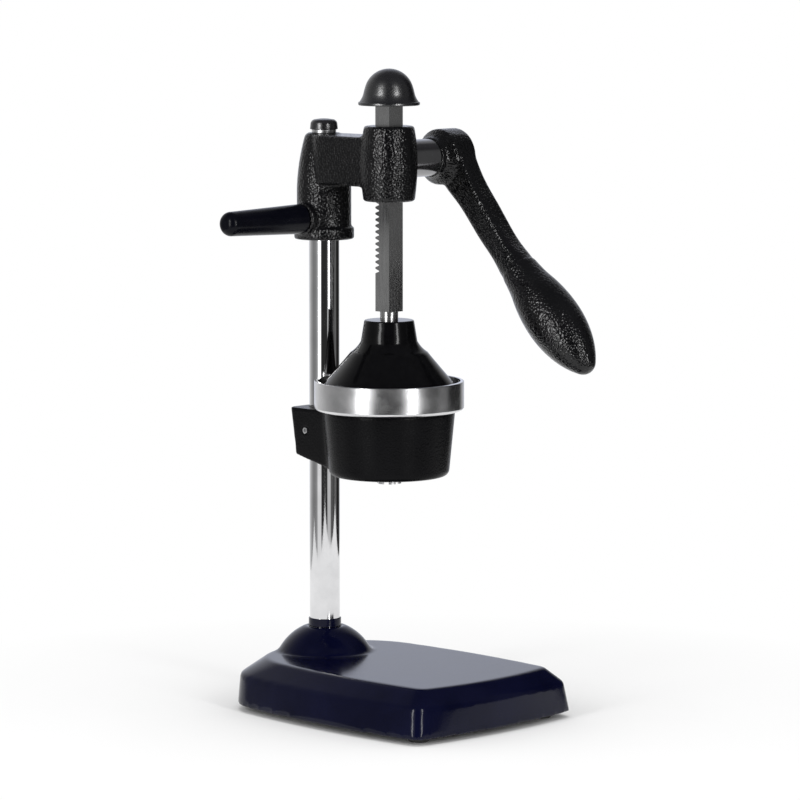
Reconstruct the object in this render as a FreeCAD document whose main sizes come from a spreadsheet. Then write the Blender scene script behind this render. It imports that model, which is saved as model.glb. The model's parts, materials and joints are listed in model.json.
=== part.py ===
import FreeCAD, Part
import Sketcher
import math
import os
import re

# Lever citrus juice press: cast base, tube column, bowl bracket, rack and pinion head, lever.
# Millimetres. X to the right, Y to the rear, Z up. Sizes below use press coordinates:
# the axis of the rack, dome and strainer stands at x 0, y 0, and the feet touch z 0.

V = FreeCAD.Vector
doc = FreeCAD.newDocument("lever_press")

SIZES = [
    # Place of the press axis in the frame of the whole object
    ("press_axis_y", "14.83", "centres the outline front to rear"),
    ("slip", "0.05", "radial clearance of slip and running fits"),
    ("seat_gap", "0.3", "gap between faces that only rest near each other"),
    # Column
    ("column_y", "77", "column axis behind the press axis"),
    ("column_r", "12.7", ""),
    ("column_wall", "2", ""),
    ("column_bottom_z", "20", ""),
    ("column_top_z", "470", ""),
    ("column_bore_r", "=column_r+slip", "bore of every casting on the column"),
    ("plug_r", "=column_r-column_wall-slip", ""),
    ("foot_plug_len", "25", ""),
    ("top_plug_len", "22", ""),
    ("collar_r", "13.7", "black collar at the column foot"),
    ("collar_len", "6.4", ""),
    # Base casting outlines: bottom edge, shoulder, deck
    ("base_bottom_z", "4.6", ""),
    ("shoulder_z", "29.7", ""),
    ("deck_z", "42.7", ""),
    ("base_mid_y", "-25", "widest place of the bowed sides"),
    ("side_bow", "720", ""),
    ("bottom_half", "98.5", ""),
    ("bottom_front", "-131.2", ""),
    ("bottom_rear", "114.5", ""),
    ("bottom_front_bow", "550", ""),
    ("bottom_rear_bow", "420", ""),
    ("shoulder_half", "94", ""),
    ("shoulder_front", "-130", ""),
    ("shoulder_rear", "116", ""),
    ("shoulder_front_bow", "380", ""),
    ("shoulder_rear_bow", "400", ""),
    ("corner_front_r", "11", ""),
    ("corner_rear_r", "40", ""),
    ("deck_half", "78", ""),
    ("deck_front", "-120.5", ""),
    ("deck_rear", "109.5", ""),
    ("deck_front_bow", "290", ""),
    ("deck_rear_bow", "400", ""),
    ("deck_corner_front_r", "10", ""),
    ("deck_corner_rear_r", "65", ""),
    ("base_wall", "5", "wall and deck thickness"),
    ("deck_inset", "6", "cavity roof inside the deck outline"),
    ("rib_t", "4", ""),
    ("rib_x", "34", ""),
    ("rib_front_y", "-62", ""),
    ("rib_rear_y", "14", ""),
    ("rib_bottom_z", "12", ""),
    # Dome of the base around the column
    ("boss_r", "39.5", ""),
    ("boss_top_r", "16", ""),
    ("boss_top_z", "64.2", ""),
    ("boss_arc", "45", ""),
    ("boss_skirt_z", "20", ""),
    ("boss_foot_fillet", "2.5", ""),
    ("socket_floor_t", "6", ""),
    ("socket_boss_r", "20", ""),
    ("foot_bolt_hole_r", "5.5", ""),
    # Feet
    ("foot_r", "8", ""),
    ("foot_h", "8", ""),
    ("foot_front_x", "72", ""),
    ("foot_front_y", "-106", ""),
    ("foot_rear_x", "64", ""),
    ("foot_rear_y", "90", ""),
    ("foot_boss_r", "7", ""),
    ("foot_sink_r", "4.5", ""),
    ("foot_sink_depth", "3.6", ""),
    ("foot_screw_r", "2", ""),
    ("foot_screw_len", "14", ""),
    ("foot_head_r", "3.6", ""),
    ("foot_head_h", "2.6", ""),
    # Screws shared by the castings
    ("set_screw_r", "4", ""),
    ("set_screw_socket", "4", "across the flats"),
    ("set_screw_socket_depth", "4", ""),
    ("thread_gap", "0.1", "radial gap of a plain modelled thread"),
    ("base_screw_z", "52", ""),
    ("base_screw_len", "20", ""),
    ("bolt10_r", "5", ""),
    ("bolt10_head_flats", "16", ""),
    ("bolt10_head_h", "6.4", ""),
    ("foot_bolt_len", "28", ""),
    ("foot_washer_r", "12", ""),
    ("foot_washer_t", "2", ""),
    # Bowl bracket
    ("bowl_top_z", "253.8", ""),
    ("bowl_bottom_z", "199", ""),
    ("bowl_top_r", "54.8", ""),
    ("bowl_bottom_r", "49.5", ""),
    ("bowl_round", "5", ""),
    ("bowl_wall", "4", ""),
    ("bowl_floor_t", "4.7", "floor thickness at the wall"),
    ("bowl_inner_round", "6", ""),
    ("outlet_floor_t", "3.4", "floor thickness at the outlet"),
    ("lug_half", "24.3", ""),
    ("lug_rear", "95.2", ""),
    ("lug_top_z", "250", ""),
    ("lug_bottom_z", "198.7", ""),
    ("lug_corner_r", "5", ""),
    ("lug_draft", "5.6", "degrees"),
    ("lug_blend", "16", ""),
    ("lug_knee_y", "50", ""),
    ("lug_knee_z", "200.2", ""),
    ("lug_rear_z", "212.5", ""),
    ("bowl_screw_z", "231.4", ""),
    ("bowl_screw_r", "2.5", ""),
    ("bowl_screw_socket", "2.5", "across the flats"),
    ("bowl_screw_socket_depth", "3", ""),
    ("bowl_screw_proud", "0.6", "stands out of the lug"),
    ("bowl_screw_len", "=lug_half-(lug_top_z-bowl_screw_z)*tan(lug_draft)-column_r+bowl_screw_proud", ""),
    # Juice spout
    ("spout_r", "10", ""),
    ("spout_wall", "1.8", ""),
    ("spout_bottom_z", "192.4", ""),
    ("spout_flange_r", "13", ""),
    ("spout_flange_t", "1.6", ""),
    ("spout_notches", "6", ""),
    ("spout_notch_w", "4.4", ""),
    ("spout_notch_h", "3", ""),
    # Strainer cup
    ("ring_overhang", "7.2", "ring outside the bowl mouth"),
    ("ring_r", "=bowl_top_r+ring_overhang", ""),
    ("ring_top_z", "278", ""),
    ("ring_wall", "3", ""),
    ("ring_round", "3", ""),
    ("ring_floor_t", "2.5", ""),
    ("spigot_gap", "0.6", "play of the spigot in the bowl mouth"),
    ("spigot_r", "=bowl_top_r-bowl_wall-spigot_gap", ""),
    ("spigot_taper", "1.1", ""),
    ("spigot_tip_r", "=spigot_r-spigot_taper", ""),
    ("spigot_wall", "2", ""),
    ("dish_z", "245.8", ""),
    ("dish_t", "2.2", ""),
    ("dish_hole_r", "9", ""),
    ("slot_inner_r", "27", ""),
    ("slot_margin", "3.1", "metal between the slots and the spigot wall"),
    ("slot_outer_r", "=spigot_tip_r-spigot_wall-slot_margin", ""),
    ("slot_w", "3", ""),
    ("slot_count", "24", ""),
    # Reamer cone
    ("reamer_foot_r", "24", ""),
    ("reamer_foot_t", "2.5", ""),
    ("reamer_body_r", "17", ""),
    ("reamer_top_r", "3", ""),
    ("reamer_top_z", "289", ""),
    ("reamer_tip_z", "292", ""),
    ("reamer_rib_r", "22", ""),
    ("reamer_rib_t", "2.4", ""),
    ("reamer_ribs", "8", ""),
    ("reamer_spigot_len", "2", ""),
    # Pressing dome
    ("dome_ring_gap", "2.6", "room between the dome and the ring wall"),
    ("dome_rim_r", "=ring_r-ring_wall-dome_ring_gap", ""),
    ("dome_shoulder_z", "272", ""),
    ("dome_rim_wall", "4", ""),
    ("dome_step1_r", "=dome_rim_r-7.2", ""),
    ("dome_step1_z", "281", ""),
    ("dome_step2_r", "36.5", ""),
    ("dome_step2_z", "296", ""),
    ("dome_flare_arc", "24", ""),
    ("dome_neck_r", "23.4", ""),
    ("dome_neck_z", "308.8", ""),
    ("dome_top_r", "20.8", ""),
    ("dome_top_z", "328.3", ""),
    ("dome_top_round", "1.5", ""),
    ("dome_in1_r", "=dome_rim_r-4.9", ""),
    ("dome_in1_z", "270", ""),
    ("dome_in2_r", "28.5", ""),
    ("dome_in2_z", "296.5", ""),
    ("dome_roof_r", "14.5", ""),
    ("dome_roof_z", "302", ""),
    ("dome_rib_depth", "5", ""),
    ("dome_rib_t", "2.4", ""),
    ("dome_ribs", "8", ""),
    ("nut_pocket_r", "12.4", ""),
    ("nut_pocket_z", "314", ""),
    ("dome_washer_r", "12", ""),
    ("dome_washer_t", "2.5", ""),
    ("dome_nut_flats", "18", ""),
    ("dome_nut_h", "10", ""),
    # Rack bar
    ("bar_w", "16", "square bar"),
    ("bar_bottom_z", "335.4", ""),
    ("bar_top_z", "505.2", ""),
    ("bar_neck_r", "7.5", ""),
    ("bar_stud_r", "6", "stud through the dome"),
    ("bar_stud_end_z", "300", ""),
    ("bar_top_stud_r", "5", ""),
    ("bar_top_stud_len", "14", ""),
    ("rack_module", "1.5875", ""),
    ("rack_pitch", "=rack_module*pi", ""),
    ("rack_gaps", "23", ""),
    ("rack_gaps_below", "18", "gaps below the one level with the pivot"),
    ("rack_root_depth", "4.2", ""),
    ("pressure_angle", "20", "degrees"),
    ("rack_pitch_y", "=bar_w/2-rack_module", "pitch line of the rack"),
    ("backlash", "0.12", ""),
    # Pinion and its shaft
    ("pinion_teeth", "18", ""),
    ("pinion_pitch_r", "=rack_module*pinion_teeth/2", ""),
    ("pinion_base_r", "=pinion_pitch_r*cos(pressure_angle)", ""),
    ("pinion_root_r", "12.3", ""),
    ("shaft_r", "15.75", "bar the teeth are cut in"),
    ("pivot_y", "=rack_pitch_y+pinion_pitch_r", ""),
    ("pivot_z", "458.5", ""),
    ("teeth_half_len", "10", ""),
    ("journal_r", "10", ""),
    ("journal_end_x", "-16", ""),
    ("left_bush_r", "13", ""),
    ("right_bush_r", "18", ""),
    ("right_bush_x", "14", ""),
    ("spigot_shaft_r", "10", ""),
    ("lever_in_x", "66.5", "inner face of the lever collar"),
    ("spigot_end_x", "95.5", ""),
    ("groove_x", "23", ""),
    ("groove_depth", "1.5", ""),
    ("grub_r", "3", ""),
    ("groove_side_gap", "0.3", "play of the screw tip in the groove, each side"),
    ("groove_w", "=2*(grub_r+groove_side_gap)", ""),
    ("grub_tip_gap", "0.3", "play of the screw tip over the groove floor"),
    ("grub_sink", "0.2", "outer end of the screw below the boss"),
    ("grub_socket", "3", ""),
    ("grub_socket_depth", "2.5", ""),
    # Top knob
    ("knob_r", "25.4", ""),
    ("knob_lip_h", "2.8", ""),
    ("knob_lip_round", "1", ""),
    ("knob_flare_h", "6.2", "hollow flare from the lip to the side"),
    ("knob_flare_arc", "20", ""),
    ("knob_step_r", "21.2", ""),
    ("knob_side_arc", "60", ""),
    ("knob_waist_r", "19.4", ""),
    ("knob_waist_h", "15.8", ""),
    ("knob_waist_z", "=bar_top_z+knob_waist_h", ""),
    ("knob_crown_h", "14.2", ""),
    ("knob_top_z", "=knob_waist_z+knob_crown_h", ""),
    ("knob_crown_arc", "=(knob_waist_r^2+knob_crown_h^2)/(2*knob_crown_h)", ""),
    ("insert_r", "8", ""),
    ("insert_len", "14", ""),
    # Head casting
    ("barrel_bottom_z", "426.3", ""),
    ("barrel_top_z", "488.4", ""),
    ("barrel_bottom_r", "21.5", ""),
    ("barrel_belly_r", "23.5", ""),
    ("barrel_belly_z", "459", ""),
    ("barrel_top_r", "21", ""),
    ("barrel_round", "2.5", ""),
    ("barrel_lower_bow", "=((barrel_belly_z-barrel_bottom_z-barrel_round)^2+(barrel_belly_r-barrel_bottom_r)^2)"
     "/(2*(barrel_belly_r-barrel_bottom_r))", ""),
    ("barrel_upper_bow", "=((barrel_top_z-barrel_round-barrel_belly_z)^2+(barrel_belly_r-barrel_top_r)^2)"
     "/(2*(barrel_belly_r-barrel_top_r))", ""),
    ("bar_slip", "0.1", "play of the bar in its square bore, each side"),
    ("hub_flange_r", "25.1", ""),
    ("hub_flange_bottom_z", "391.1", ""),
    ("hub_flange_h", "10", ""),
    ("hub_round", "1.5", ""),
    ("hub_r", "22.8", ""),
    ("hub_fillet", "1.6", ""),
    ("hub_taper_z", "434", ""),
    ("hub_top_r", "16.5", ""),
    ("hub_shoulder_z", "475.5", ""),
    ("hub_top_round", "4.5", ""),
    ("hub_top_z", "480", ""),
    ("hub_taper_arc", "190", ""),
    ("hub_bore_top_z", "=column_top_z+0.5", ""),
    ("arm_half", "20", ""),
    ("arm_turn_y", "62", "the sides bend in towards the hub from here"),
    ("arm_end_half", "10", ""),
    ("arm_end_y", "80", ""),
    ("arm_end_arc", "=((arm_half-arm_end_half)^2+(arm_end_y-arm_turn_y)^2)/(2*(arm_half-arm_end_half))", ""),
    ("arm_top_z", "479", ""),
    ("arm_bottom_z", "438", ""),
    ("arm_edge_round", "3", ""),
    ("pinion_boss_r", "21.5", ""),
    ("pinion_boss_end_x", "31", ""),
    ("pinion_room", "0.6", "radial room round the teeth"),
    ("handle_z", "409", ""),
    ("handle_boss_r", "13.6", ""),
    ("handle_boss_end_x", "-26.7", ""),
    ("handle_boss_round", "1.2", ""),
    ("stud_r", "5", ""),
    ("stud_gap", "0.1", "radial play of the clamp stud in its plain bore"),
    ("head_bolt_r", "4", ""),
    ("head_bolt_len", "25", ""),
    ("head_bolt_flats", "13", ""),
    ("head_bolt_head_h", "5.3", ""),
    ("cap_washer_r", "10.2", ""),
    ("cap_washer_t", "2.6", ""),
    ("cap_r", "11.65", ""),
    ("cap_h", "9", ""),
    ("cap_draft", "0.4", "the side leans in by this much"),
    ("cap_corner_r", "4.2", ""),
    ("cap_crown_h", "0.7", ""),
    ("cap_flat_r", "=cap_r-cap_draft-cap_corner_r", ""),
    ("cap_crown_arc", "=(cap_flat_r^2+cap_crown_h^2)/(2*cap_crown_h)", ""),
    ("cap_pocket_r", "8", ""),
    # Side handle
    ("grip_in_x", "-27", ""),
    ("grip_out_x", "-113.5", ""),
    ("grip_in_r", "12.5", ""),
    ("grip_out_r", "10.1", ""),
    ("grip_out_round", "7.6", ""),
    ("grip_in_round", "1.5", ""),
    ("grip_bore_end_x", "-78", ""),
    ("stud_in_x", "=-column_r-seat_gap", ""),
    ("stud_out_x", "-75", ""),
    # Lever
    ("lever_drop", "46.8", "degrees below level, towards the front"),
    ("lever_bore_r", "=spigot_shaft_r+0.02", ""),
    ("collar_face_r", "17", ""),
    ("collar_face_end_x", "72", ""),
    ("lever_hub_r", "23.5", ""),
    ("lever_hub_x", "78", "outer end of the hub cone"),
    ("lever_hub_end_x", "101.2", ""),
    ("lever_hub_round", "2", ""),
    ("lever_sink_r", "15", ""),
    ("lever_sink_x", "96", ""),
    ("beam_x", "90", "middle of the beam"),
    ("beam_half", "10.6", ""),
    ("beam_round", "4", ""),
    ("beam_back", "6", "the beam starts this far behind the pivot"),
    ("beam_v0", "3.6", ""),
    ("beam_h0", "19.6", ""),
    ("beam_span1", "17", ""),
    ("beam_u1", "=beam_span1", ""),
    ("beam_v1", "2.9", ""),
    ("beam_h1", "15.7", ""),
    ("beam_span2", "23", ""),
    ("beam_u2", "=beam_u1+beam_span2", ""),
    ("beam_v2", "0.75", ""),
    ("beam_h2", "12.65", ""),
    ("beam_span3", "22", ""),
    ("beam_u3", "=beam_u2+beam_span3", ""),
    ("beam_v3", "-0.1", ""),
    ("beam_h3", "11.9", ""),
    ("beam_span4", "22", ""),
    ("beam_u4", "=beam_u3+beam_span4", ""),
    ("beam_v4", "-1.4", ""),
    ("beam_h4", "11.3", ""),
    ("beam_span5", "17", ""),
    ("beam_u5", "=beam_u4+beam_span5", ""),
    ("beam_v5", "-1.6", ""),
    ("beam_h5", "11.4", ""),
    ("beam_w5", "11.2", ""),
    ("beam_round5", "6", ""),
    ("beam_span6", "12", ""),
    ("beam_u6", "=beam_u5+beam_span6", ""),
    ("beam_v6", "-1.6", ""),
    ("beam_h6", "13.2", ""),
    ("beam_round6", "10.5", ""),
    ("beam_span7", "10", "to the neck of the bulb"),
    ("bulb_neck_s", "-37", ""),
    ("bulb_u", "=beam_u6+beam_span7-bulb_neck_s", "bulb origin along the lever"),
    ("bulb_tilt", "2.1", "degrees of the bulb axis off the beam axis"),
    ("bulb_x", "90", ""),
    ("bulb_neck_r", "15.7", ""),
    ("bulb_step", "1", "the beam ends this far inside the neck"),
    ("beam_end_r", "=bulb_neck_r-bulb_step", ""),
    ("bulb_neck_arc", "170", ""),
    ("bulb_knee_s", "-19", ""),
    ("bulb_knee_r", "18.3", ""),
    ("bulb_rise_arc", "140", ""),
    ("bulb_belly_s", "18", ""),
    ("bulb_belly_r", "23.5", ""),
    ("bulb_fall_arc", "105", ""),
    ("bulb_fall_s", "45", ""),
    ("bulb_fall_r", "20.1", ""),
    ("bulb_nose_arc", "80", ""),
    ("bulb_nose_s", "69.9", ""),
    ("bulb_nose_r", "9", ""),
    ("bulb_tip_s", "75", ""),
    ("bulb_tip_h", "=bulb_tip_s-bulb_nose_s", ""),
    ("bulb_tip_arc", "=(bulb_nose_r^2+bulb_tip_h^2)/(2*bulb_tip_h)", ""),
    ("key_w", "6", ""),
    ("key_h", "6", ""),
    ("key_in_x", "72", ""),
    ("key_len", "20", ""),
    ("key_depth", "3.4", "depth of the key in the shaft"),
    ("lever_washer_r", "14", ""),
    ("lever_washer_t", "2.5", ""),
    ("lever_bolt_len", "24", ""),
    ("lever_bolt_flats", "17", ""),
]

sheet = doc.addObject("Spreadsheet::Sheet", "sizes")
for row, (alias, value, note) in enumerate(SIZES, start=1):
    sheet.set("A%d" % row, alias)
    sheet.set("B%d" % row, value)
    sheet.set("C%d" % row, note)
    sheet.setAlias("B%d" % row, alias)
doc.recompute()
KNOWN = {alias for alias, value, note in SIZES}


def num(text):
    """Value of an expression in sheet names."""
    return float(sheet.evalExpression(text))


def bind(text):
    """The expression with every size name pointed at the sheet."""
    def point(word):
        name = word.group(0)
        return "sizes." + name if name in KNOWN else name
    return re.sub(r"[a-z][a-z_0-9]*", point, text)


def place(item, x, y, z):
    """Bind the position of an object, given in press coordinates."""
    item.setExpression("Placement.Base.x", bind(x))
    item.setExpression("Placement.Base.y", bind("press_axis_y+(%s)" % y))
    item.setExpression("Placement.Base.z", bind(z))


# Sketch helpers

def pin(sketch, rules, geometry, position, x, y):
    """Rules that hold a sketch point at x, y."""
    if x == "0":
        rules.append((Sketcher.Constraint("PointOnObject", geometry, position, -2), None))
    else:
        rules.append((Sketcher.Constraint("DistanceX", -1, 1, geometry, position, num(x)), x))
    if y == "0":
        rules.append((Sketcher.Constraint("PointOnObject", geometry, position, -1), None))
    else:
        rules.append((Sketcher.Constraint("DistanceY", -1, 1, geometry, position, num(y)), y))


def apply_rules(sketch, rules):
    """Add the rules and bind each sized one to the sheet."""
    first = sketch.ConstraintCount
    sketch.addConstraint([rule for rule, text in rules])
    for index, (rule, text) in enumerate(rules):
        if text is not None:
            sketch.setExpression("Constraints[%d]" % (first + index), bind(text))


def outline(sketch, corners):
    """Closed outline. A corner is x, y, and, for a curved edge to the next corner, also the
    radius and 1 or -1 for a centre on the left or on the right of the way there."""
    points = [V(num(corner[0]), num(corner[1]), 0) for corner in corners]
    rules = []
    ends = []
    for index, corner in enumerate(corners):
        start = points[index]
        stop = points[(index + 1) % len(points)]
        if len(corner) == 2:
            edge = sketch.addGeometry(Part.LineSegment(start, stop), False)
            ends.append((edge, 1, 2))
            continue
        radius = num(corner[2])
        side = corner[3]
        way = stop - start
        height = math.sqrt(radius ** 2 - (way.Length / 2) ** 2)
        left = V(-way.y, way.x, 0) / way.Length
        centre = (start + stop) / 2 + left * (side * height)
        begin = start if side > 0 else stop
        finish = stop if side > 0 else start
        angle_a = math.atan2(begin.y - centre.y, begin.x - centre.x)
        angle_b = math.atan2(finish.y - centre.y, finish.x - centre.x)
        if angle_b < angle_a:
            angle_b += 2 * math.pi
        circle = Part.Circle(centre, V(0, 0, 1), radius)
        edge = sketch.addGeometry(Part.ArcOfCircle(circle, angle_a, angle_b), False)
        ends.append((edge, 1, 2) if side > 0 else (edge, 2, 1))
        rules.append((Sketcher.Constraint("Radius", edge, radius), corner[2]))
    for index, corner in enumerate(corners):
        before = ends[index - 1]
        here = ends[index]
        rules.append((Sketcher.Constraint("Coincident", before[0], before[2], here[0], here[1]), None))
        pin(sketch, rules, here[0], here[1], corner[0], corner[1])
    apply_rules(sketch, rules)


def disc(sketch, x, y, radius):
    """Circle of a bound radius at a bound place."""
    centre = V(num(x), num(y), 0)
    edge = sketch.addGeometry(Part.Circle(centre, V(0, 0, 1), num(radius)), False)
    rules = []
    pin(sketch, rules, edge, 3, x, y)
    rules.append((Sketcher.Constraint("Radius", edge, num(radius)), radius))
    apply_rules(sketch, rules)


def axis_line(sketch, start, stop):
    """Construction line used as a turning axis."""
    line = Part.LineSegment(V(num(start[0]), num(start[1]), 0), V(num(stop[0]), num(stop[1]), 0))
    edge = sketch.addGeometry(line, True)
    rules = []
    pin(sketch, rules, edge, 1, start[0], start[1])
    pin(sketch, rules, edge, 2, stop[0], stop[1])
    apply_rules(sketch, rules)


def rounded_rectangle(sketch, x, y, half_x, half_y, radius):
    """Rectangle about x, y with four tangent corner arcs."""
    cx, cy, hx, hy, r = num(x), num(y), num(half_x), num(half_y), num(radius)
    rules = []
    sides = []
    turns = [(1, -1), (1, 1), (-1, 1), (-1, -1)]
    starts = [(-hx + r, -hy), (hx, -hy + r), (hx - r, hy), (-hx, hy - r)]
    stops = [(hx - r, -hy), (hx, hy - r), (-hx + r, hy), (-hx, -hy + r)]
    for k in range(4):
        start = V(cx + starts[k][0], cy + starts[k][1], 0)
        stop = V(cx + stops[k][0], cy + stops[k][1], 0)
        sides.append(sketch.addGeometry(Part.LineSegment(start, stop), False))
        turn = turns[k]
        centre = V(cx + turn[0] * (hx - r), cy + turn[1] * (hy - r), 0)
        angle = math.radians(-90 + 90 * k)
        arc = Part.ArcOfCircle(Part.Circle(centre, V(0, 0, 1), r), angle, angle + math.pi / 2)
        sides.append(sketch.addGeometry(arc, False))
        rules.append((Sketcher.Constraint("Radius", sides[-1], r), radius))
    for k in range(8):
        rules.append((Sketcher.Constraint("Tangent", sides[k], 2, sides[(k + 1) % 8], 1), None))
    rules.append((Sketcher.Constraint("Horizontal", sides[0]), None))
    rules.append((Sketcher.Constraint("Vertical", sides[2]), None))
    rules.append((Sketcher.Constraint("Horizontal", sides[4]), None))
    rules.append((Sketcher.Constraint("Vertical", sides[6]), None))
    low = "%s-(%s)" % (y, half_y)
    right = "%s+(%s)" % (x, half_x)
    high = "%s+(%s)" % (y, half_y)
    near = "%s-(%s)" % (x, half_x)
    rules.append((Sketcher.Constraint("DistanceY", -1, 1, sides[0], 1, cy - hy), low))
    rules.append((Sketcher.Constraint("DistanceX", -1, 1, sides[2], 1, cx + hx), right))
    rules.append((Sketcher.Constraint("DistanceY", -1, 1, sides[4], 1, cy + hy), high))
    rules.append((Sketcher.Constraint("DistanceX", -1, 1, sides[6], 1, cx - hx), near))
    apply_rules(sketch, rules)


def corner_centre(a, ra, b, rb, near):
    """Centre of the circle inside both, at ra from a and rb from b, on the side of near."""
    way = b - a
    along = (way.Length ** 2 + ra ** 2 - rb ** 2) / (2 * way.Length)
    across = math.sqrt(ra ** 2 - along ** 2)
    middle = a + way * (along / way.Length)
    left = V(-way.y, way.x, 0) / way.Length
    both = [middle + left * across, middle - left * across]
    return min(both, key=lambda point: (point - near).Length)


def bowed_outline(sketch, half, front, rear, bows, corners):
    """Four bowed sides with tangent corner arcs: the plan outline of the base."""
    side_bow, front_bow, rear_bow = bows
    front_corner, rear_corner = corners
    centre_texts = [
        ("0", "%s+(%s)" % (front, front_bow), front_bow),
        ("%s-(%s)" % (half, side_bow), "base_mid_y", side_bow),
        ("0", "%s-(%s)" % (rear, rear_bow), rear_bow),
        ("%s-(%s)" % (side_bow, half), "base_mid_y", side_bow),
    ]
    near = [V(num(half), num(front), 0), V(num(half), num(rear), 0),
            V(-num(half), num(rear), 0), V(-num(half), num(front), 0)]
    corner_texts = [front_corner, rear_corner, rear_corner, front_corner]
    centres = [V(num(x), num(y), 0) for x, y, bow in centre_texts]
    radii = [num(bow) for x, y, bow in centre_texts]
    small = [num(text) for text in corner_texts]
    corner_middles = []
    for k in range(4):
        after = (k + 1) % 4
        corner_middles.append(corner_centre(centres[k], radii[k] - small[k], centres[after],
                                            radii[after] - small[k], near[k]))

    def touch(centre, radius, middle):
        way = middle - centre
        return centre + way * (radius / way.Length)

    def arc(centre, radius, start, stop):
        angle_a = math.atan2(start.y - centre.y, start.x - centre.x)
        angle_b = math.atan2(stop.y - centre.y, stop.x - centre.x)
        if angle_b < angle_a:
            angle_b += 2 * math.pi
        circle = Part.Circle(centre, V(0, 0, 1), radius)
        return sketch.addGeometry(Part.ArcOfCircle(circle, angle_a, angle_b), False)

    edges = []
    rules = []
    for k in range(4):
        start = touch(centres[k], radii[k], corner_middles[k - 1])
        stop = touch(centres[k], radii[k], corner_middles[k])
        side = arc(centres[k], radii[k], start, stop)
        after = (k + 1) % 4
        far = touch(centres[after], radii[after], corner_middles[k])
        turn = arc(corner_middles[k], small[k], stop, far)
        edges += [side, turn]
        pin(sketch, rules, side, 3, centre_texts[k][0], centre_texts[k][1])
        rules.append((Sketcher.Constraint("Radius", side, radii[k]), centre_texts[k][2]))
        rules.append((Sketcher.Constraint("Radius", turn, small[k]), corner_texts[k]))
    for k in range(8):
        rules.append((Sketcher.Constraint("Tangent", edges[k], 2, edges[(k + 1) % 8], 1), None))
    apply_rules(sketch, rules)


# Body helpers

def new_body(name, x="0", y="0", z="0"):
    """A body whose own origin stands at x, y, z."""
    body = doc.addObject("PartDesign::Body", name)
    body.Label = name
    place(body, x, y, z)
    return body


def new_sketch(body, name, plane, offset="0"):
    """Sketch on one of the body's own origin planes, moved along its normal."""
    sketch = body.newObject("Sketcher::SketchObject", name)
    origin_plane = [item for item in body.Origin.OriginFeatures if item.Role == plane][0]
    sketch.AttachmentSupport = [(origin_plane, "")]
    sketch.MapMode = "FlatFace"
    if offset != "0":
        sketch.setExpression("AttachmentOffset.Base.z", bind(offset))
    doc.recompute()
    return sketch


def turned(body, name, corners, plane="XZ_Plane", axis="V_Axis", line=None, offset="0", cut=False):
    """Solid or groove of revolution of an outline."""
    sketch = new_sketch(body, name + "_outline", plane, offset)
    if line is not None:
        axis_line(sketch, line[0], line[1])
        axis = "Axis0"
    outline(sketch, corners)
    kind = "PartDesign::Groove" if cut else "PartDesign::Revolution"
    feature = body.newObject(kind, name)
    feature.Profile = sketch
    feature.ReferenceAxis = (sketch, [axis])
    feature.Angle = 360
    doc.recompute()
    return feature


def pushed(body, name, sketch, length=None, cut=False, reverse=False, both=False, draft=None):
    """Pad or pocket of a sketch; a pocket without a length goes through all."""
    kind = "PartDesign::Pocket" if cut else "PartDesign::Pad"
    feature = body.newObject(kind, name)
    feature.Profile = sketch
    if length is None:
        feature.Type = "ThroughAll"
    else:
        feature.setExpression("Length", bind(length))
    if both:
        feature.SideType = "Symmetric"
    feature.Reversed = reverse
    if draft is not None:
        feature.setExpression("TaperAngle", bind(draft))
    doc.recompute()
    return feature


def repeated_round(body, name, feature, sketch, count):
    """Polar pattern of a feature about the normal of its sketch plane."""
    pattern = body.newObject("PartDesign::PolarPattern", name)
    pattern.Originals = [feature]
    pattern.Axis = ([item for item in body.Origin.OriginFeatures if item.Role == sketch][0], [""])
    pattern.Angle = 360
    pattern.setExpression("Occurrences", bind(count))
    body.Tip = pattern
    doc.recompute()
    return pattern


def rounded(body, name, feature, radius, chosen):
    """Fillet on the edges of a feature that the test picks."""
    names = []
    for index, edge in enumerate(feature.Shape.Edges, start=1):
        if chosen(edge):
            names.append("Edge%d" % index)
    fillet = body.newObject("PartDesign::Fillet", name)
    fillet.Base = (feature, names)
    fillet.setExpression("Radius", bind(radius))
    doc.recompute()
    return fillet


# Plain solid helpers

TURNS = {
    "up": FreeCAD.Rotation(),
    "down": FreeCAD.Rotation(V(1, 0, 0), 180),
    "right": FreeCAD.Rotation(V(0, 1, 0), 90),
    "left": FreeCAD.Rotation(V(0, 1, 0), -90),
    "rear": FreeCAD.Rotation(V(1, 0, 0), -90),
}


def cylinder(name, radius, length, x, y, z, way="up"):
    item = doc.addObject("Part::Cylinder", name)
    item.Placement = FreeCAD.Placement(V(0, 0, 0), TURNS[way])
    item.setExpression("Radius", bind(radius))
    item.setExpression("Height", bind(length))
    place(item, x, y, z)
    return item


def hexagon(name, flats, length, x, y, z, way="up"):
    item = doc.addObject("Part::Prism", name)
    item.Polygon = 6
    item.Placement = FreeCAD.Placement(V(0, 0, 0), TURNS[way])
    item.setExpression("Circumradius", bind("(%s)/sqrt(3)" % flats))
    item.setExpression("Height", bind(length))
    place(item, x, y, z)
    return item


def block(name, x, y, z, size_x, size_y, size_z):
    item = doc.addObject("Part::Box", name)
    item.setExpression("Length", bind(size_x))
    item.setExpression("Width", bind(size_y))
    item.setExpression("Height", bind(size_z))
    place(item, x, y, z)
    return item


def joined(name, items):
    item = doc.addObject("Part::MultiFuse", name)
    item.Shapes = items
    item.Label = name
    return item


def cut_away(name, base, tool):
    item = doc.addObject("Part::Cut", name)
    item.Base = base
    item.Tool = tool
    item.Label = name
    return item


NODES = []


def node(item, name):
    """Register a finished piece under the name of its file."""
    item.Label = name
    NODES.append((name, item))
    return item


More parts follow.
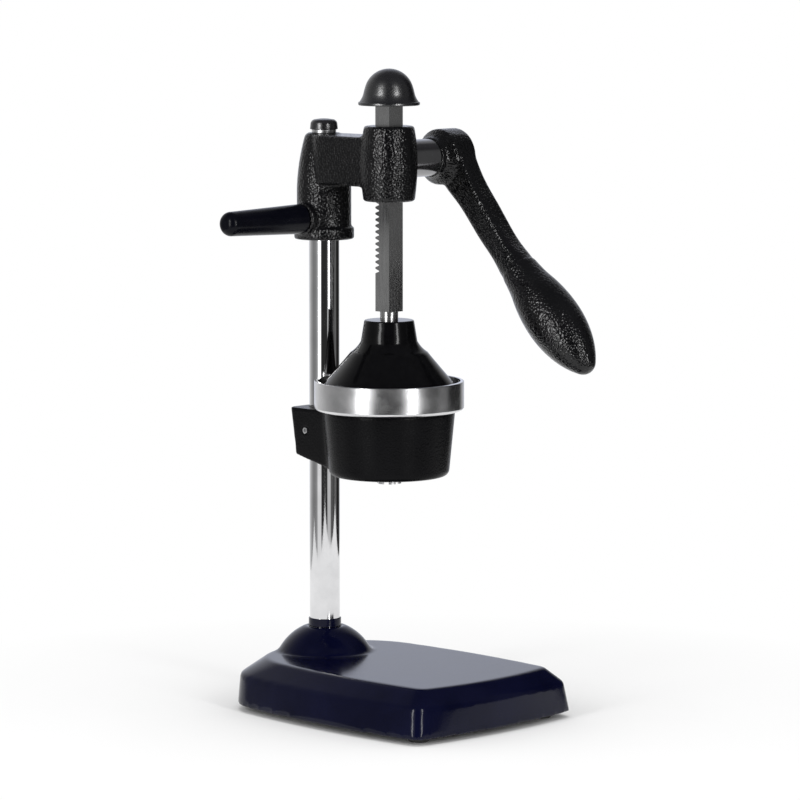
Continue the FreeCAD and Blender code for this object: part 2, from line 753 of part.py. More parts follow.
# Base casting: three bowed outlines, the convex boss round the column, a hollow underside
base_outer = new_body("base_outer")
levels = [
    ("bottom", "base_bottom_z", "bottom_half", "bottom_front", "bottom_rear",
     ("side_bow", "bottom_front_bow", "bottom_rear_bow"), ("corner_front_r", "corner_rear_r")),
    ("shoulder", "shoulder_z", "shoulder_half", "shoulder_front", "shoulder_rear",
     ("side_bow", "shoulder_front_bow", "shoulder_rear_bow"), ("corner_front_r", "corner_rear_r")),
    ("deck", "deck_z", "deck_half", "deck_front", "deck_rear",
     ("side_bow", "deck_front_bow", "deck_rear_bow"), ("deck_corner_front_r", "deck_corner_rear_r")),
]
outer_sections = []
for tag, height, half, front, rear, bows, corners in levels:
    section = new_sketch(base_outer, "base_%s_outline" % tag, "XY_Plane", height)
    bowed_outline(section, half, front, rear, bows, corners)
    outer_sections.append(section)
base_loft = base_outer.newObject("PartDesign::AdditiveLoft", "base_loft")
base_loft.Profile = outer_sections[0]
base_loft.Sections = outer_sections[1:]
base_loft.Ruled = True
doc.recompute()
turned(base_outer, "base_boss", [
    ("column_y", "boss_skirt_z"),
    ("column_y+boss_r", "boss_skirt_z"),
    ("column_y+boss_r", "deck_z", "boss_arc", 1),
    ("column_y+boss_top_r", "boss_top_z"),
    ("column_y", "boss_top_z"),
], plane="YZ_Plane", line=(("column_y", "boss_skirt_z"), ("column_y", "boss_top_z")))

base_cavity = new_body("base_cavity")
cavity_levels = [
    ("mouth", "base_bottom_z-1", "bottom_half-base_wall", "bottom_front+base_wall", "bottom_rear-base_wall",
     ("side_bow-base_wall", "bottom_front_bow-base_wall", "bottom_rear_bow-base_wall"),
     ("corner_front_r-base_wall", "corner_rear_r-base_wall")),
    ("waist", "shoulder_z-base_wall/2", "shoulder_half-base_wall", "shoulder_front+base_wall",
     "shoulder_rear-base_wall",
     ("side_bow-base_wall", "shoulder_front_bow-base_wall", "shoulder_rear_bow-base_wall"),
     ("corner_front_r-base_wall", "corner_rear_r-base_wall")),
    ("roof", "deck_z-base_wall", "deck_half-deck_inset", "deck_front+deck_inset", "deck_rear-deck_inset",
     ("side_bow-deck_inset", "deck_front_bow-deck_inset", "deck_rear_bow-deck_inset"),
     ("deck_corner_front_r-deck_inset/2", "deck_corner_rear_r-deck_inset")),
]
cavity_sections = []
for tag, height, half, front, rear, bows, corners in cavity_levels:
    section = new_sketch(base_cavity, "cavity_%s_outline" % tag, "XY_Plane", height)
    bowed_outline(section, half, front, rear, bows, corners)
    cavity_sections.append(section)
cavity_loft = base_cavity.newObject("PartDesign::AdditiveLoft", "cavity_loft")
cavity_loft.Profile = cavity_sections[0]
cavity_loft.Sections = cavity_sections[1:]
cavity_loft.Ruled = True

FEET = [
    ("front_right", "foot_front_x", "foot_front_y"),
    ("front_left", "-foot_front_x", "foot_front_y"),
    ("rear_right", "foot_rear_x", "foot_rear_y"),
    ("rear_left", "-foot_rear_x", "foot_rear_y"),
]
inside = []
for side, sign in (("right", ""), ("left", "-")):
    inside.append(block("rib_%s" % side, "%srib_x-rib_t/2" % sign, "bottom_front", "rib_bottom_z",
                        "rib_t", "bottom_rear-bottom_front", "deck_z-rib_bottom_z"))
for tag, y in (("front", "rib_front_y"), ("rear", "rib_rear_y")):
    inside.append(block("rib_%s" % tag, "-bottom_half", "%s-rib_t/2" % y, "rib_bottom_z",
                        "2*bottom_half", "rib_t", "deck_z-rib_bottom_z"))
inside.append(cylinder("socket_boss", "socket_boss_r", "deck_z-column_bottom_z+socket_floor_t",
                       "0", "column_y", "column_bottom_z-socket_floor_t"))
for tag, x, y in FEET:
    inside.append(cylinder("foot_boss_%s" % tag, "foot_boss_r", "deck_z-foot_h", x, y, "foot_h"))
base_inside = joined("base_inside", inside)
base_cells = cut_away("base_cells", base_cavity, base_inside)
base_hollow = cut_away("base_hollow", base_outer, base_cells)
drills = [
    cylinder("socket_bore", "column_bore_r", "boss_top_z-column_bottom_z+1", "0", "column_y",
             "column_bottom_z"),
    cylinder("foot_bolt_hole", "foot_bolt_hole_r", "socket_floor_t+2", "0", "column_y",
             "column_bottom_z-socket_floor_t-1"),
    cylinder("base_screw_hole", "set_screw_r+thread_gap", "boss_r", "0", "column_y", "base_screw_z",
             "rear"),
]
for tag, x, y in FEET:
    drills.append(cylinder("foot_hole_%s" % tag, "foot_screw_r+thread_gap", "foot_screw_len", x, y,
                           "foot_h-1"))
base_drills = joined("base_drills", drills)
node(cut_away("base_casting_cut", base_hollow, base_drills), "base_casting")

# Rubber feet and their screws
feet = [cylinder("foot_%s" % tag, "foot_r", "foot_h", x, y, "0") for tag, x, y in FEET]
foot_bores = []
foot_screws = []
for tag, x, y in FEET:
    foot_bores.append(cylinder("foot_sink_%s" % tag, "foot_sink_r", "foot_sink_depth", x, y, "0"))
    foot_bores.append(cylinder("foot_bore_%s" % tag, "foot_screw_r+thread_gap", "foot_h", x, y, "0"))
    foot_screws.append(cylinder("foot_head_%s" % tag, "foot_head_r", "foot_head_h", x, y,
                                "foot_sink_depth-foot_head_h"))
    foot_screws.append(cylinder("foot_shank_%s" % tag, "foot_screw_r", "foot_screw_len", x, y,
                                "foot_sink_depth"))
node(cut_away("feet_cut", joined("feet_blanks", feet), joined("feet_bores", foot_bores)), "rubber_feet")
node(joined("feet_screws_all", foot_screws), "feet_screws")


def socket_screw(name, radius, length, flats, depth, x, y, z, way, far):
    """Headless screw along a way, with its hexagon socket at the outer end at far."""
    body = cylinder(name + "_body", radius, length, x, y, z, way)
    socket = hexagon(name + "_socket", flats, depth + "+1", far[0], far[1], far[2], way)
    return cut_away(name + "_cut", body, socket)


node(socket_screw("base_screw", "set_screw_r", "base_screw_len", "set_screw_socket",
                  "set_screw_socket_depth", "0", "column_y+column_r", "base_screw_z", "rear",
                  ("0", "column_y+column_r+base_screw_len-set_screw_socket_depth", "base_screw_z")),
     "base_set_screw")

# Column tube, bright collar, end plugs and the bolt that pulls the column into its socket
column = new_body("column_tube", y="column_y")
turned(column, "column_wall_turned", [
    ("column_r-column_wall", "column_bottom_z"),
    ("column_r", "column_bottom_z"),
    ("column_r", "column_top_z"),
    ("column_r-column_wall", "column_top_z"),
])
node(column, "column_tube")

collar = new_body("column_collar", y="column_y")
turned(collar, "collar_turned", [
    ("column_bore_r", "boss_top_z"),
    ("collar_r", "boss_top_z"),
    ("collar_r", "boss_top_z+collar_len-0.4"),
    ("collar_r-0.4", "boss_top_z+collar_len"),
    ("column_bore_r", "boss_top_z+collar_len"),
])
node(collar, "column_collar")

foot_plug = new_body("column_foot_plug", y="column_y")
turned(foot_plug, "foot_plug_turned", [
    ("bolt10_r+thread_gap", "column_bottom_z"),
    ("plug_r", "column_bottom_z"),
    ("plug_r", "column_bottom_z+foot_plug_len"),
    ("bolt10_r+thread_gap", "column_bottom_z+foot_plug_len"),
])
node(foot_plug, "column_foot_plug")

foot_washer = new_body("column_foot_washer", y="column_y")
turned(foot_washer, "foot_washer_turned", [
    ("bolt10_r+thread_gap", "column_bottom_z-socket_floor_t-foot_washer_t"),
    ("foot_washer_r", "column_bottom_z-socket_floor_t-foot_washer_t"),
    ("foot_washer_r", "column_bottom_z-socket_floor_t"),
    ("bolt10_r+thread_gap", "column_bottom_z-socket_floor_t"),
])
node(foot_washer, "column_foot_washer")

foot_bolt_seat = "column_bottom_z-socket_floor_t-foot_washer_t"
node(joined("foot_bolt_all", [
    hexagon("foot_bolt_head", "bolt10_head_flats", "bolt10_head_h", "0", "column_y",
            foot_bolt_seat + "-bolt10_head_h"),
    cylinder("foot_bolt_shank", "bolt10_r", "foot_bolt_len", "0", "column_y", foot_bolt_seat),
]), "column_foot_bolt")

top_plug = new_body("column_top_plug", y="column_y")
turned(top_plug, "top_plug_turned", [
    ("head_bolt_r+thread_gap", "column_top_z-top_plug_len"),
    ("plug_r", "column_top_z-top_plug_len"),
    ("plug_r", "column_top_z"),
    ("head_bolt_r+thread_gap", "column_top_z"),
])
node(top_plug, "column_top_plug")

# Bowl bracket: lug on the column, blended into the tapered bowl
bracket = new_body("bowl_bracket")
lug_plan = new_sketch(bracket, "lug_plan", "XY_Plane", "lug_top_z")
blend_y = "sqrt((bowl_top_r+lug_blend)^2-(lug_half+lug_blend)^2)"
touch_x = "(lug_half+lug_blend)*bowl_top_r/(bowl_top_r+lug_blend)"
touch_y = blend_y + "*bowl_top_r/(bowl_top_r+lug_blend)"
outline(lug_plan, [
    ("lug_half/2", "bowl_bottom_r/2"),
    (touch_x, touch_y, "lug_blend", -1),
    ("lug_half", blend_y),
    ("lug_half", "lug_rear-lug_corner_r", "lug_corner_r", 1),
    ("lug_half-lug_corner_r", "lug_rear"),
    ("lug_corner_r-lug_half", "lug_rear", "lug_corner_r", 1),
    ("-lug_half", "lug_rear-lug_corner_r"),
    ("-lug_half", blend_y, "lug_blend", -1),
    ("-" + touch_x, touch_y),
    ("-lug_half/2", "bowl_bottom_r/2"),
])
pushed(bracket, "lug_pad", lug_plan, "lug_top_z-lug_bottom_z", reverse=True, draft="-lug_draft")
lug_under = new_sketch(bracket, "lug_under", "YZ_Plane")
outline(lug_under, [
    ("0", "lug_bottom_z-5"),
    ("lug_rear+10", "lug_bottom_z-5"),
    ("lug_rear+10", "lug_rear_z+1"),
    ("lug_knee_y", "lug_knee_z"),
    ("lug_knee_y-8", "lug_bottom_z+0.5"),
    ("0", "lug_bottom_z+0.5"),
])
pushed(bracket, "lug_under_cut", lug_under, cut=True, both=True)
bowl_slope = "(bowl_top_r-bowl_bottom_r)/(bowl_top_z-bowl_bottom_z)"
turned(bracket, "bowl_turned", [
    ("spout_r+slip", "bowl_bottom_z"),
    ("bowl_bottom_r-bowl_round", "bowl_bottom_z", "bowl_round*1.05", 1),
    ("bowl_bottom_r+bowl_round*" + bowl_slope, "bowl_bottom_z+bowl_round"),
    ("bowl_top_r", "bowl_top_z"),
    ("spout_r+slip", "bowl_top_z"),
])
turned(bracket, "bowl_hollow", [
    ("0", "bowl_bottom_z+outlet_floor_t"),
    ("spout_flange_r+0.3", "bowl_bottom_z+outlet_floor_t"),
    ("bowl_bottom_r-bowl_wall-bowl_inner_round", "bowl_bottom_z+bowl_floor_t",
     "bowl_inner_round*1.05", 1),
    ("bowl_bottom_r-bowl_wall+(bowl_floor_t+bowl_inner_round)*" + bowl_slope,
     "bowl_bottom_z+bowl_floor_t+bowl_inner_round"),
    ("bowl_top_r-bowl_wall+" + bowl_slope, "bowl_top_z+1"),
    ("0", "bowl_top_z+1"),
], cut=True)
outlet = new_sketch(bracket, "outlet", "XY_Plane", "bowl_bottom_z+bowl_floor_t+1")
disc(outlet, "0", "0", "spout_r+slip")
pushed(bracket, "outlet_cut", outlet, "bowl_floor_t+20", cut=True)
lug_bore = new_sketch(bracket, "lug_bore", "XY_Plane", "lug_top_z+10")
disc(lug_bore, "0", "column_y", "column_bore_r")
pushed(bracket, "lug_bore_cut", lug_bore, "lug_top_z-lug_bottom_z+20", cut=True)
bowl_screw_hole = new_sketch(bracket, "bowl_screw_hole", "YZ_Plane")
disc(bowl_screw_hole, "column_y", "bowl_screw_z", "bowl_screw_r+thread_gap")
pushed(bracket, "bowl_screw_cut", bowl_screw_hole, "lug_half+5", cut=True)
node(bracket, "bowl_bracket")

node(socket_screw("bowl_screw", "bowl_screw_r", "bowl_screw_len", "bowl_screw_socket",
                  "bowl_screw_socket_depth", "-column_r", "column_y", "bowl_screw_z", "left",
                  ("-column_r-bowl_screw_len+bowl_screw_socket_depth", "column_y", "bowl_screw_z")),
     "bowl_set_screw")

# Juice spout with a notched lip, pressed into the bowl floor
spout = new_body("juice_spout")
turned(spout, "spout_turned", [
    ("spout_r-spout_wall", "spout_bottom_z"),
    ("spout_r", "spout_bottom_z"),
    ("spout_r", "bowl_bottom_z+outlet_floor_t"),
    ("spout_flange_r", "bowl_bottom_z+outlet_floor_t"),
    ("spout_flange_r", "bowl_bottom_z+outlet_floor_t+spout_flange_t"),
    ("spout_r-spout_wall", "bowl_bottom_z+outlet_floor_t+spout_flange_t"),
])
notch = new_sketch(spout, "spout_notch", "XZ_Plane")
outline(notch, [
    ("-spout_notch_w/2", "spout_bottom_z-1"),
    ("spout_notch_w/2", "spout_bottom_z-1"),
    ("spout_notch_w/2", "spout_bottom_z+spout_notch_h"),
    ("-spout_notch_w/2", "spout_bottom_z+spout_notch_h"),
])
notch_cut = pushed(spout, "spout_notch_cut", notch, "spout_r+2", cut=True)
repeated_round(spout, "spout_notches_cut", notch_cut, "Z_Axis", "spout_notches")
node(spout, "juice_spout")

# Strainer cup: polished ring, spigot in the bowl mouth, slotted dish
cup = new_body("strainer_cup")
turned(cup, "cup_turned", [
    ("dish_hole_r", "dish_z"),
    ("spigot_tip_r", "dish_z"),
    ("spigot_r", "bowl_top_z"),
    ("ring_r-ring_round", "bowl_top_z", "ring_round", 1),
    ("ring_r", "bowl_top_z+ring_round"),
    ("ring_r", "ring_top_z-0.8", "0.8", 1),
    ("ring_r-0.8", "ring_top_z"),
    ("ring_r-ring_wall", "ring_top_z"),
    ("ring_r-ring_wall", "bowl_top_z+ring_floor_t"),
    ("spigot_r-spigot_wall", "bowl_top_z+ring_floor_t"),
    ("spigot_tip_r-spigot_wall", "dish_z+dish_t"),
    ("dish_hole_r", "dish_z+dish_t"),
])
slot = new_sketch(cup, "slot", "XY_Plane", "dish_z+dish_t+1")
outline(slot, [
    ("slot_inner_r", "-slot_w/2"),
    ("slot_outer_r", "-slot_w/2", "slot_w/2+0.01", 1),
    ("slot_outer_r", "slot_w/2"),
    ("slot_inner_r", "slot_w/2", "slot_w/2+0.01", 1),
])
slot_cut = pushed(cup, "slot_cut", slot, "dish_t+3", cut=True)
repeated_round(cup, "slots_cut", slot_cut, "Z_Axis", "slot_count")
node(cup, "strainer_cup")

# Reamer cone standing in the dish
reamer = new_body("reamer_cone")
reamer_seat = "dish_z+dish_t"
turned(reamer, "reamer_turned", [
    ("0", reamer_seat + "-reamer_spigot_len"),
    ("dish_hole_r-slip", reamer_seat + "-reamer_spigot_len"),
    ("dish_hole_r-slip", reamer_seat),
    ("reamer_foot_r", reamer_seat),
    ("reamer_foot_r", reamer_seat + "+reamer_foot_t"),
    ("reamer_body_r", reamer_seat + "+reamer_foot_t"),
    ("reamer_top_r", "reamer_top_z"),
    ("0", "reamer_tip_z"),
])
reamer_rib = new_sketch(reamer, "reamer_rib", "XZ_Plane")
outline(reamer_rib, [
    ("0", reamer_seat + "+reamer_foot_t/2"),
    ("reamer_rib_r", reamer_seat + "+reamer_foot_t/2"),
    ("reamer_rib_r", reamer_seat + "+reamer_foot_t+2"),
    ("reamer_top_r", "reamer_top_z+0.8"),
    ("0", "reamer_top_z+0.8"),
])
reamer_rib_pad = pushed(reamer, "reamer_rib_pad", reamer_rib, "reamer_rib_t", both=True)
repeated_round(reamer, "reamer_ribs_pad", reamer_rib_pad, "Z_Axis", "reamer_ribs")
node(reamer, "reamer_cone")

# Pressing dome with inner ribs
dome = new_body("press_dome")
rim_z = "bowl_top_z+ring_floor_t+seat_gap"
turned(dome, "dome_turned", [
    ("bar_stud_r+thread_gap", "nut_pocket_z"),
    ("nut_pocket_r", "nut_pocket_z"),
    ("nut_pocket_r", "dome_roof_z"),
    ("dome_roof_r", "dome_roof_z"),
    ("dome_in2_r", "dome_in2_z"),
    ("dome_in1_r", "dome_in1_z"),
    ("dome_rim_r-dome_rim_wall", rim_z),
    ("dome_rim_r-1", rim_z, "1", 1),
    ("dome_rim_r", rim_z + "+1"),
    ("dome_rim_r", "dome_shoulder_z-2", "6", 1),
    ("dome_rim_r-1.4", "dome_shoulder_z+1.5"),
    ("dome_step1_r", "dome_step1_z"),
    ("dome_step2_r", "dome_step2_z"),
    ("dome_step2_r-4.6", "dome_step2_z+5.6", "dome_flare_arc", -1),
    ("dome_neck_r", "dome_neck_z+2"),
    ("dome_top_r", "dome_top_z-dome_top_round", "dome_top_round", 1),
    ("dome_top_r-dome_top_round", "dome_top_z"),
    ("bar_stud_r+thread_gap", "dome_top_z"),
])
dome_rib = new_sketch(dome, "dome_rib", "XZ_Plane")
outline(dome_rib, [
    ("dome_in1_r+1", "dome_in1_z+0.5"),
    ("dome_in2_r+1", "dome_in2_z+1.5"),
    ("nut_pocket_r+1.2", "dome_roof_z+1"),
    ("nut_pocket_r+1.2", "dome_roof_z-dome_rib_depth/2"),
    ("dome_in2_r-dome_rib_depth", "dome_in2_z-dome_rib_depth"),
    ("dome_in1_r-dome_rib_depth", "dome_in1_z"),
])
dome_rib_pad = pushed(dome, "dome_rib_pad", dome_rib, "dome_rib_t", both=True)
repeated_round(dome, "dome_ribs_pad", dome_rib_pad, "Z_Axis", "dome_ribs")
node(dome, "press_dome")

dome_washer = new_body("dome_washer")
turned(dome_washer, "dome_washer_turned", [
    ("bar_stud_r+thread_gap", "nut_pocket_z-dome_washer_t"),
    ("dome_washer_r", "nut_pocket_z-dome_washer_t"),
    ("dome_washer_r", "nut_pocket_z"),
    ("bar_stud_r+thread_gap", "nut_pocket_z"),
])
node(dome_washer, "dome_washer")

nut_z = "nut_pocket_z-dome_washer_t-dome_nut_h"
node(cut_away("dome_nut_cut",
              hexagon("dome_nut_blank", "dome_nut_flats", "dome_nut_h", "0", "0", nut_z),
              cylinder("dome_nut_bore", "bar_stud_r+thread_gap/2", "dome_nut_h+2", "0", "0",
                       nut_z + "-1")), "dome_nut")

# Rack bar: square bar with teeth on its rear face, a neck and two studs
bar = new_body("rack_bar")
bar_section = new_sketch(bar, "bar_section", "XY_Plane", "bar_bottom_z")
outline(bar_section, [
    ("-bar_w/2", "-bar_w/2"),
    ("bar_w/2", "-bar_w/2"),
    ("bar_w/2", "bar_w/2"),
    ("-bar_w/2", "bar_w/2"),
])
pushed(bar, "bar_pad", bar_section, "bar_top_z-bar_bottom_z")
turned(bar, "bar_foot_turned", [
    ("0", "bar_stud_end_z"),
    ("bar_stud_r", "bar_stud_end_z"),
    ("bar_stud_r", "dome_top_z"),
    ("bar_neck_r", "dome_top_z"),
    ("bar_neck_r", "bar_bottom_z+1"),
    ("0", "bar_bottom_z+1"),
])
turned(bar, "bar_head_turned", [
    ("0", "bar_top_z-1"),
    ("bar_top_stud_r", "bar_top_z-1"),
    ("bar_top_stud_r", "bar_top_z+bar_top_stud_len"),
    ("0", "bar_top_z+bar_top_stud_len"),
])
low_gap_z = "pivot_z-rack_pitch*rack_gaps_below"
tip_half = "rack_pitch/4+backlash/4+rack_module*tan(pressure_angle)"
root_half = "rack_pitch/4+backlash/4-(rack_root_depth-rack_module)*tan(pressure_angle)"
gap = new_sketch(bar, "rack_gap", "YZ_Plane")
outline(gap, [
    ("bar_w/2", low_gap_z + "-(" + tip_half + ")"),
    ("bar_w/2+1", low_gap_z + "-(" + tip_half + ")"),
    ("bar_w/2+1", low_gap_z + "+(" + tip_half + ")"),
    ("bar_w/2", low_gap_z + "+(" + tip_half + ")"),
    ("bar_w/2-rack_root_depth", low_gap_z + "+(" + root_half + ")"),
    ("bar_w/2-rack_root_depth", low_gap_z + "-(" + root_half + ")"),
])
gap_cut = pushed(bar, "rack_gap_cut", gap, "bar_w+2", cut=True, both=True)
gaps = bar.newObject("PartDesign::LinearPattern", "rack_gaps_cut")
gaps.Originals = [gap_cut]
gaps.Direction = ([item for item in bar.Origin.OriginFeatures if item.Role == "Z_Axis"][0], [""])
gaps.setExpression("Length", bind("rack_pitch*(rack_gaps-1)"))
gaps.setExpression("Occurrences", bind("rack_gaps"))
bar.Tip = gaps
doc.recompute()
node(bar, "rack_bar")

# Top knob and its threaded insert
knob = new_body("top_knob")
turned(knob, "knob_turned", [
    ("insert_r", "bar_top_z"),
    ("knob_r-knob_lip_round", "bar_top_z", "knob_lip_round", 1),
    ("knob_r", "bar_top_z+knob_lip_round"),
    ("knob_r", "bar_top_z+knob_lip_h-knob_lip_round", "knob_lip_round", 1),
    ("knob_r-knob_lip_round", "bar_top_z+knob_lip_h", "knob_flare_arc", -1),
    ("knob_step_r", "bar_top_z+knob_lip_h+knob_flare_h", "knob_side_arc", 1),
    ("knob_waist_r", "knob_waist_z", "knob_crown_arc", 1),
    ("0", "knob_top_z"),
    ("0", "bar_top_z+bar_top_stud_len+1"),
    ("bar_top_stud_r+1", "bar_top_z+bar_top_stud_len+1"),
    ("bar_top_stud_r+1", "bar_top_z+insert_len"),
    ("insert_r", "bar_top_z+insert_len"),
])
node(knob, "top_knob")

insert = new_body("knob_insert")
turned(insert, "insert_turned", [
    ("bar_top_stud_r+thread_gap", "bar_top_z"),
    ("insert_r", "bar_top_z"),
    ("insert_r", "bar_top_z+insert_len"),
    ("bar_top_stud_r+thread_gap", "bar_top_z+insert_len"),
])
node(insert, "knob_insert")

# Head casting: barrel round the rack bar, hub on the column, arm with the pinion housing
head = new_body("head_casting")
turned(head, "barrel_turned", [
    ("0", "barrel_bottom_z"),
    ("barrel_bottom_r-barrel_round", "barrel_bottom_z", "barrel_round", 1),
    ("barrel_bottom_r", "barrel_bottom_z+barrel_round", "barrel_lower_bow", 1),
    ("barrel_belly_r", "barrel_belly_z", "barrel_upper_bow", 1),
    ("barrel_top_r", "barrel_top_z-barrel_round", "barrel_round", 1),
    ("barrel_top_r-barrel_round", "barrel_top_z"),
    ("0", "barrel_top_z"),
])
flange_top = "hub_flange_bottom_z+hub_flange_h"
turned(head, "hub_turned", [
    ("column_y", "hub_flange_bottom_z"),
    ("column_y+hub_flange_r-hub_round", "hub_flange_bottom_z", "hub_round", 1),
    ("column_y+hub_flange_r", "hub_flange_bottom_z+hub_round"),
    ("column_y+hub_flange_r", flange_top + "-hub_round/2", "hub_round/2", 1),
    ("column_y+hub_flange_r-hub_round/2", flange_top),
    ("column_y+hub_r+hub_fillet", flange_top, "hub_fillet", -1),
    ("column_y+hub_r", flange_top + "+hub_fillet"),
    ("column_y+hub_r", "hub_taper_z", "hub_taper_arc", 1),
    ("column_y+hub_top_r", "hub_shoulder_z", "hub_top_round+0.8", 1),
    ("column_y+hub_top_r-hub_top_round", "hub_top_z"),
    ("column_y", "hub_top_z"),
], plane="YZ_Plane", line=(("column_y", "hub_flange_bottom_z"), ("column_y", "hub_top_z")))
arm_plan = new_sketch(head, "arm_plan", "XY_Plane", "arm_bottom_z")
outline(arm_plan, [
    ("-arm_half", "1"),
    ("arm_half", "1"),
    ("arm_half", "arm_turn_y", "arm_end_arc", 1),
    ("arm_end_half", "arm_end_y"),
    ("-arm_end_half", "arm_end_y", "arm_end_arc", 1),
    ("-arm_half", "arm_turn_y"),
])
arm_pad = pushed(head, "arm_pad", arm_plan, "arm_top_z-arm_bottom_z")


def on_arm_rim(edge):
    """Upper edges of the arm, and the lower ones along its straight sides."""
    box = edge.BoundBox
    level = box.ZLength < 0.01 and box.YLength > 5 and box.YMax > num("pivot_y")
    upper = abs(box.ZMin - num("arm_top_z")) < 0.01
    lower = abs(box.ZMin - num("arm_bottom_z")) < 0.01 and box.XLength < 0.01
    return level and (upper or lower) and box.YMax < num("column_y")


rounded(head, "arm_rim_round", arm_pad, "arm_edge_round", on_arm_rim)
boss_face = new_sketch(head, "pinion_boss_face", "YZ_Plane")
disc(boss_face, "pivot_y", "pivot_z", "pinion_boss_r")
pushed(head, "pinion_boss", boss_face, "pinion_boss_end_x")
turned(head, "handle_boss", [
    ("0", "column_y"),
    ("0", "column_y+handle_boss_r"),
    ("handle_boss_end_x+handle_boss_round", "column_y+handle_boss_r", "handle_boss_round", 1),
    ("handle_boss_end_x", "column_y+handle_boss_r-handle_boss_round"),
    ("handle_boss_end_x", "column_y"),
], plane="XY_Plane", offset="handle_z", line=(("0", "column_y"), ("handle_boss_end_x", "column_y")))
square_bore = new_sketch(head, "square_bore", "XY_Plane", "barrel_top_z+1")
outline(square_bore, [
    ("-bar_w/2-bar_slip", "-bar_w/2-bar_slip"),
    ("bar_w/2+bar_slip", "-bar_w/2-bar_slip"),
    ("bar_w/2+bar_slip", "bar_w/2+bar_slip"),
    ("-bar_w/2-bar_slip", "bar_w/2+bar_slip"),
])
pushed(head, "square_bore_cut", square_bore, "barrel_top_z-barrel_bottom_z+2", cut=True)
turned(head, "pinion_bore", [
    ("journal_end_x-0.5", "pivot_y"),
    ("journal_end_x-0.5", "pivot_y+left_bush_r"),
    ("-teeth_half_len-0.5", "pivot_y+left_bush_r"),
    ("-teeth_half_len-0.5", "pivot_y+shaft_r+pinion_room"),
    ("right_bush_x", "pivot_y+shaft_r+pinion_room"),
    ("right_bush_x", "pivot_y+right_bush_r"),
    ("pinion_boss_end_x+1", "pivot_y+right_bush_r"),
    ("pinion_boss_end_x+1", "pivot_y"),
], plane="XY_Plane", offset="pivot_z", cut=True,
    line=(("journal_end_x", "pivot_y"), ("pinion_boss_end_x", "pivot_y")))
turned(head, "column_bore", [
    ("column_y", "hub_flange_bottom_z-1"),
    ("column_y+column_bore_r", "hub_flange_bottom_z-1"),
    ("column_y+column_bore_r", "hub_bore_top_z"),
    ("column_y+head_bolt_r+thread_gap", "hub_bore_top_z"),
    ("column_y+head_bolt_r+thread_gap", "hub_top_z+1"),
    ("column_y", "hub_top_z+1"),
], plane="YZ_Plane", cut=True, line=(("column_y", "hub_flange_bottom_z"), ("column_y", "hub_top_z")))
stud_hole = new_sketch(head, "stud_hole", "YZ_Plane")
disc(stud_hole, "column_y", "handle_z", "stud_r+stud_gap")
pushed(head, "stud_hole_cut", stud_hole, "-handle_boss_end_x+2", cut=True)
grub_hole = new_sketch(head, "grub_hole", "XY_Plane", "pivot_z")
disc(grub_hole, "groove_x", "pivot_y", "grub_r+thread_gap")
pushed(head, "grub_hole_cut", grub_hole, "pinion_boss_r+2", cut=True)
node(head, "head_casting")

# Bolt, washer and cap on the hub
node(joined("head_bolt_all", [
    hexagon("head_bolt_head", "head_bolt_flats", "head_bolt_head_h", "0", "column_y",
            "hub_top_z+cap_washer_t"),
    cylinder("head_bolt_shank", "head_bolt_r", "head_bolt_len", "0", "column_y",
             "hub_top_z+cap_washer_t", "down"),
]), "head_bolt")

cap_washer = new_body("cap_washer", y="column_y")
turned(cap_washer, "cap_washer_turned", [
    ("head_bolt_r+thread_gap", "hub_top_z"),
    ("cap_washer_r", "hub_top_z"),
    ("cap_washer_r", "hub_top_z+cap_washer_t"),
    ("head_bolt_r+thread_gap", "hub_top_z+cap_washer_t"),
])
node(cap_washer, "cap_washer")

cap = new_body("bolt_cap", y="column_y")
cap_z = "hub_top_z+cap_washer_t"
turned(cap, "cap_turned", [
    ("cap_pocket_r", cap_z),
    ("cap_r-0.6", cap_z, "0.6", 1),
    ("cap_r", cap_z + "+0.6"),
    ("cap_r-cap_draft", cap_z + "+cap_h-cap_crown_h-cap_corner_r", "cap_corner_r", 1),
    ("cap_flat_r", cap_z + "+cap_h-cap_crown_h", "cap_crown_arc", 1),
    ("0", cap_z + "+cap_h"),
    ("0", cap_z + "+head_bolt_head_h+0.5"),
    ("cap_pocket_r", cap_z + "+head_bolt_head_h+0.5"),
])
node(cap, "bolt_cap")

# Pinion shaft: toothed middle, bright bar, journal and keyed spigot
shaft = new_body("pinion_shaft", y="pivot_y", z="pivot_z")
turned(shaft, "shaft_turned", [
    ("journal_end_x", "0"),
    ("spigot_end_x", "0"),
    ("spigot_end_x", "spigot_shaft_r-0.6"),
    ("spigot_end_x-0.6", "spigot_shaft_r"),
    ("lever_in_x", "spigot_shaft_r"),
    ("lever_in_x", "shaft_r"),
    ("groove_x+groove_w/2", "shaft_r"),
    ("groove_x+groove_w/2", "shaft_r-groove_depth"),
    ("groove_x-groove_w/2", "shaft_r-groove_depth"),
    ("groove_x-groove_w/2", "shaft_r"),
    ("-teeth_half_len", "shaft_r"),
    ("-teeth_half_len", "journal_r"),
    ("journal_end_x", "journal_r"),
], plane="XY_Plane", axis="H_Axis")
tooth_gap = new_sketch(shaft, "tooth_gap", "YZ_Plane", "-teeth_half_len-0.5")


def flank(radius, side):
    """Point of the tooth gap at a radius, on the involute flank of either side."""
    grow = "0"
    if num(radius) > num("pinion_base_r"):
        lean = "(acos(pinion_base_r/(%s))/1deg)" % radius
        grow = "(tan(%s)*180/pi-%s)" % (lean, lean)
    base_half = "(90/pinion_teeth+(tan(pressure_angle)*180/pi-pressure_angle))"
    tooth_half = "(%s-%s-backlash*45/(pi*pinion_pitch_r))" % (base_half, grow)
    half = "(180/pinion_teeth-%s)" % tooth_half
    along = "(180/pinion_teeth)"
    turn = "(%s%s%s)" % (along, side, half)
    return ("-(%s)*cos(%s)" % (radius, turn), "(%s)*sin(%s)" % (radius, turn))


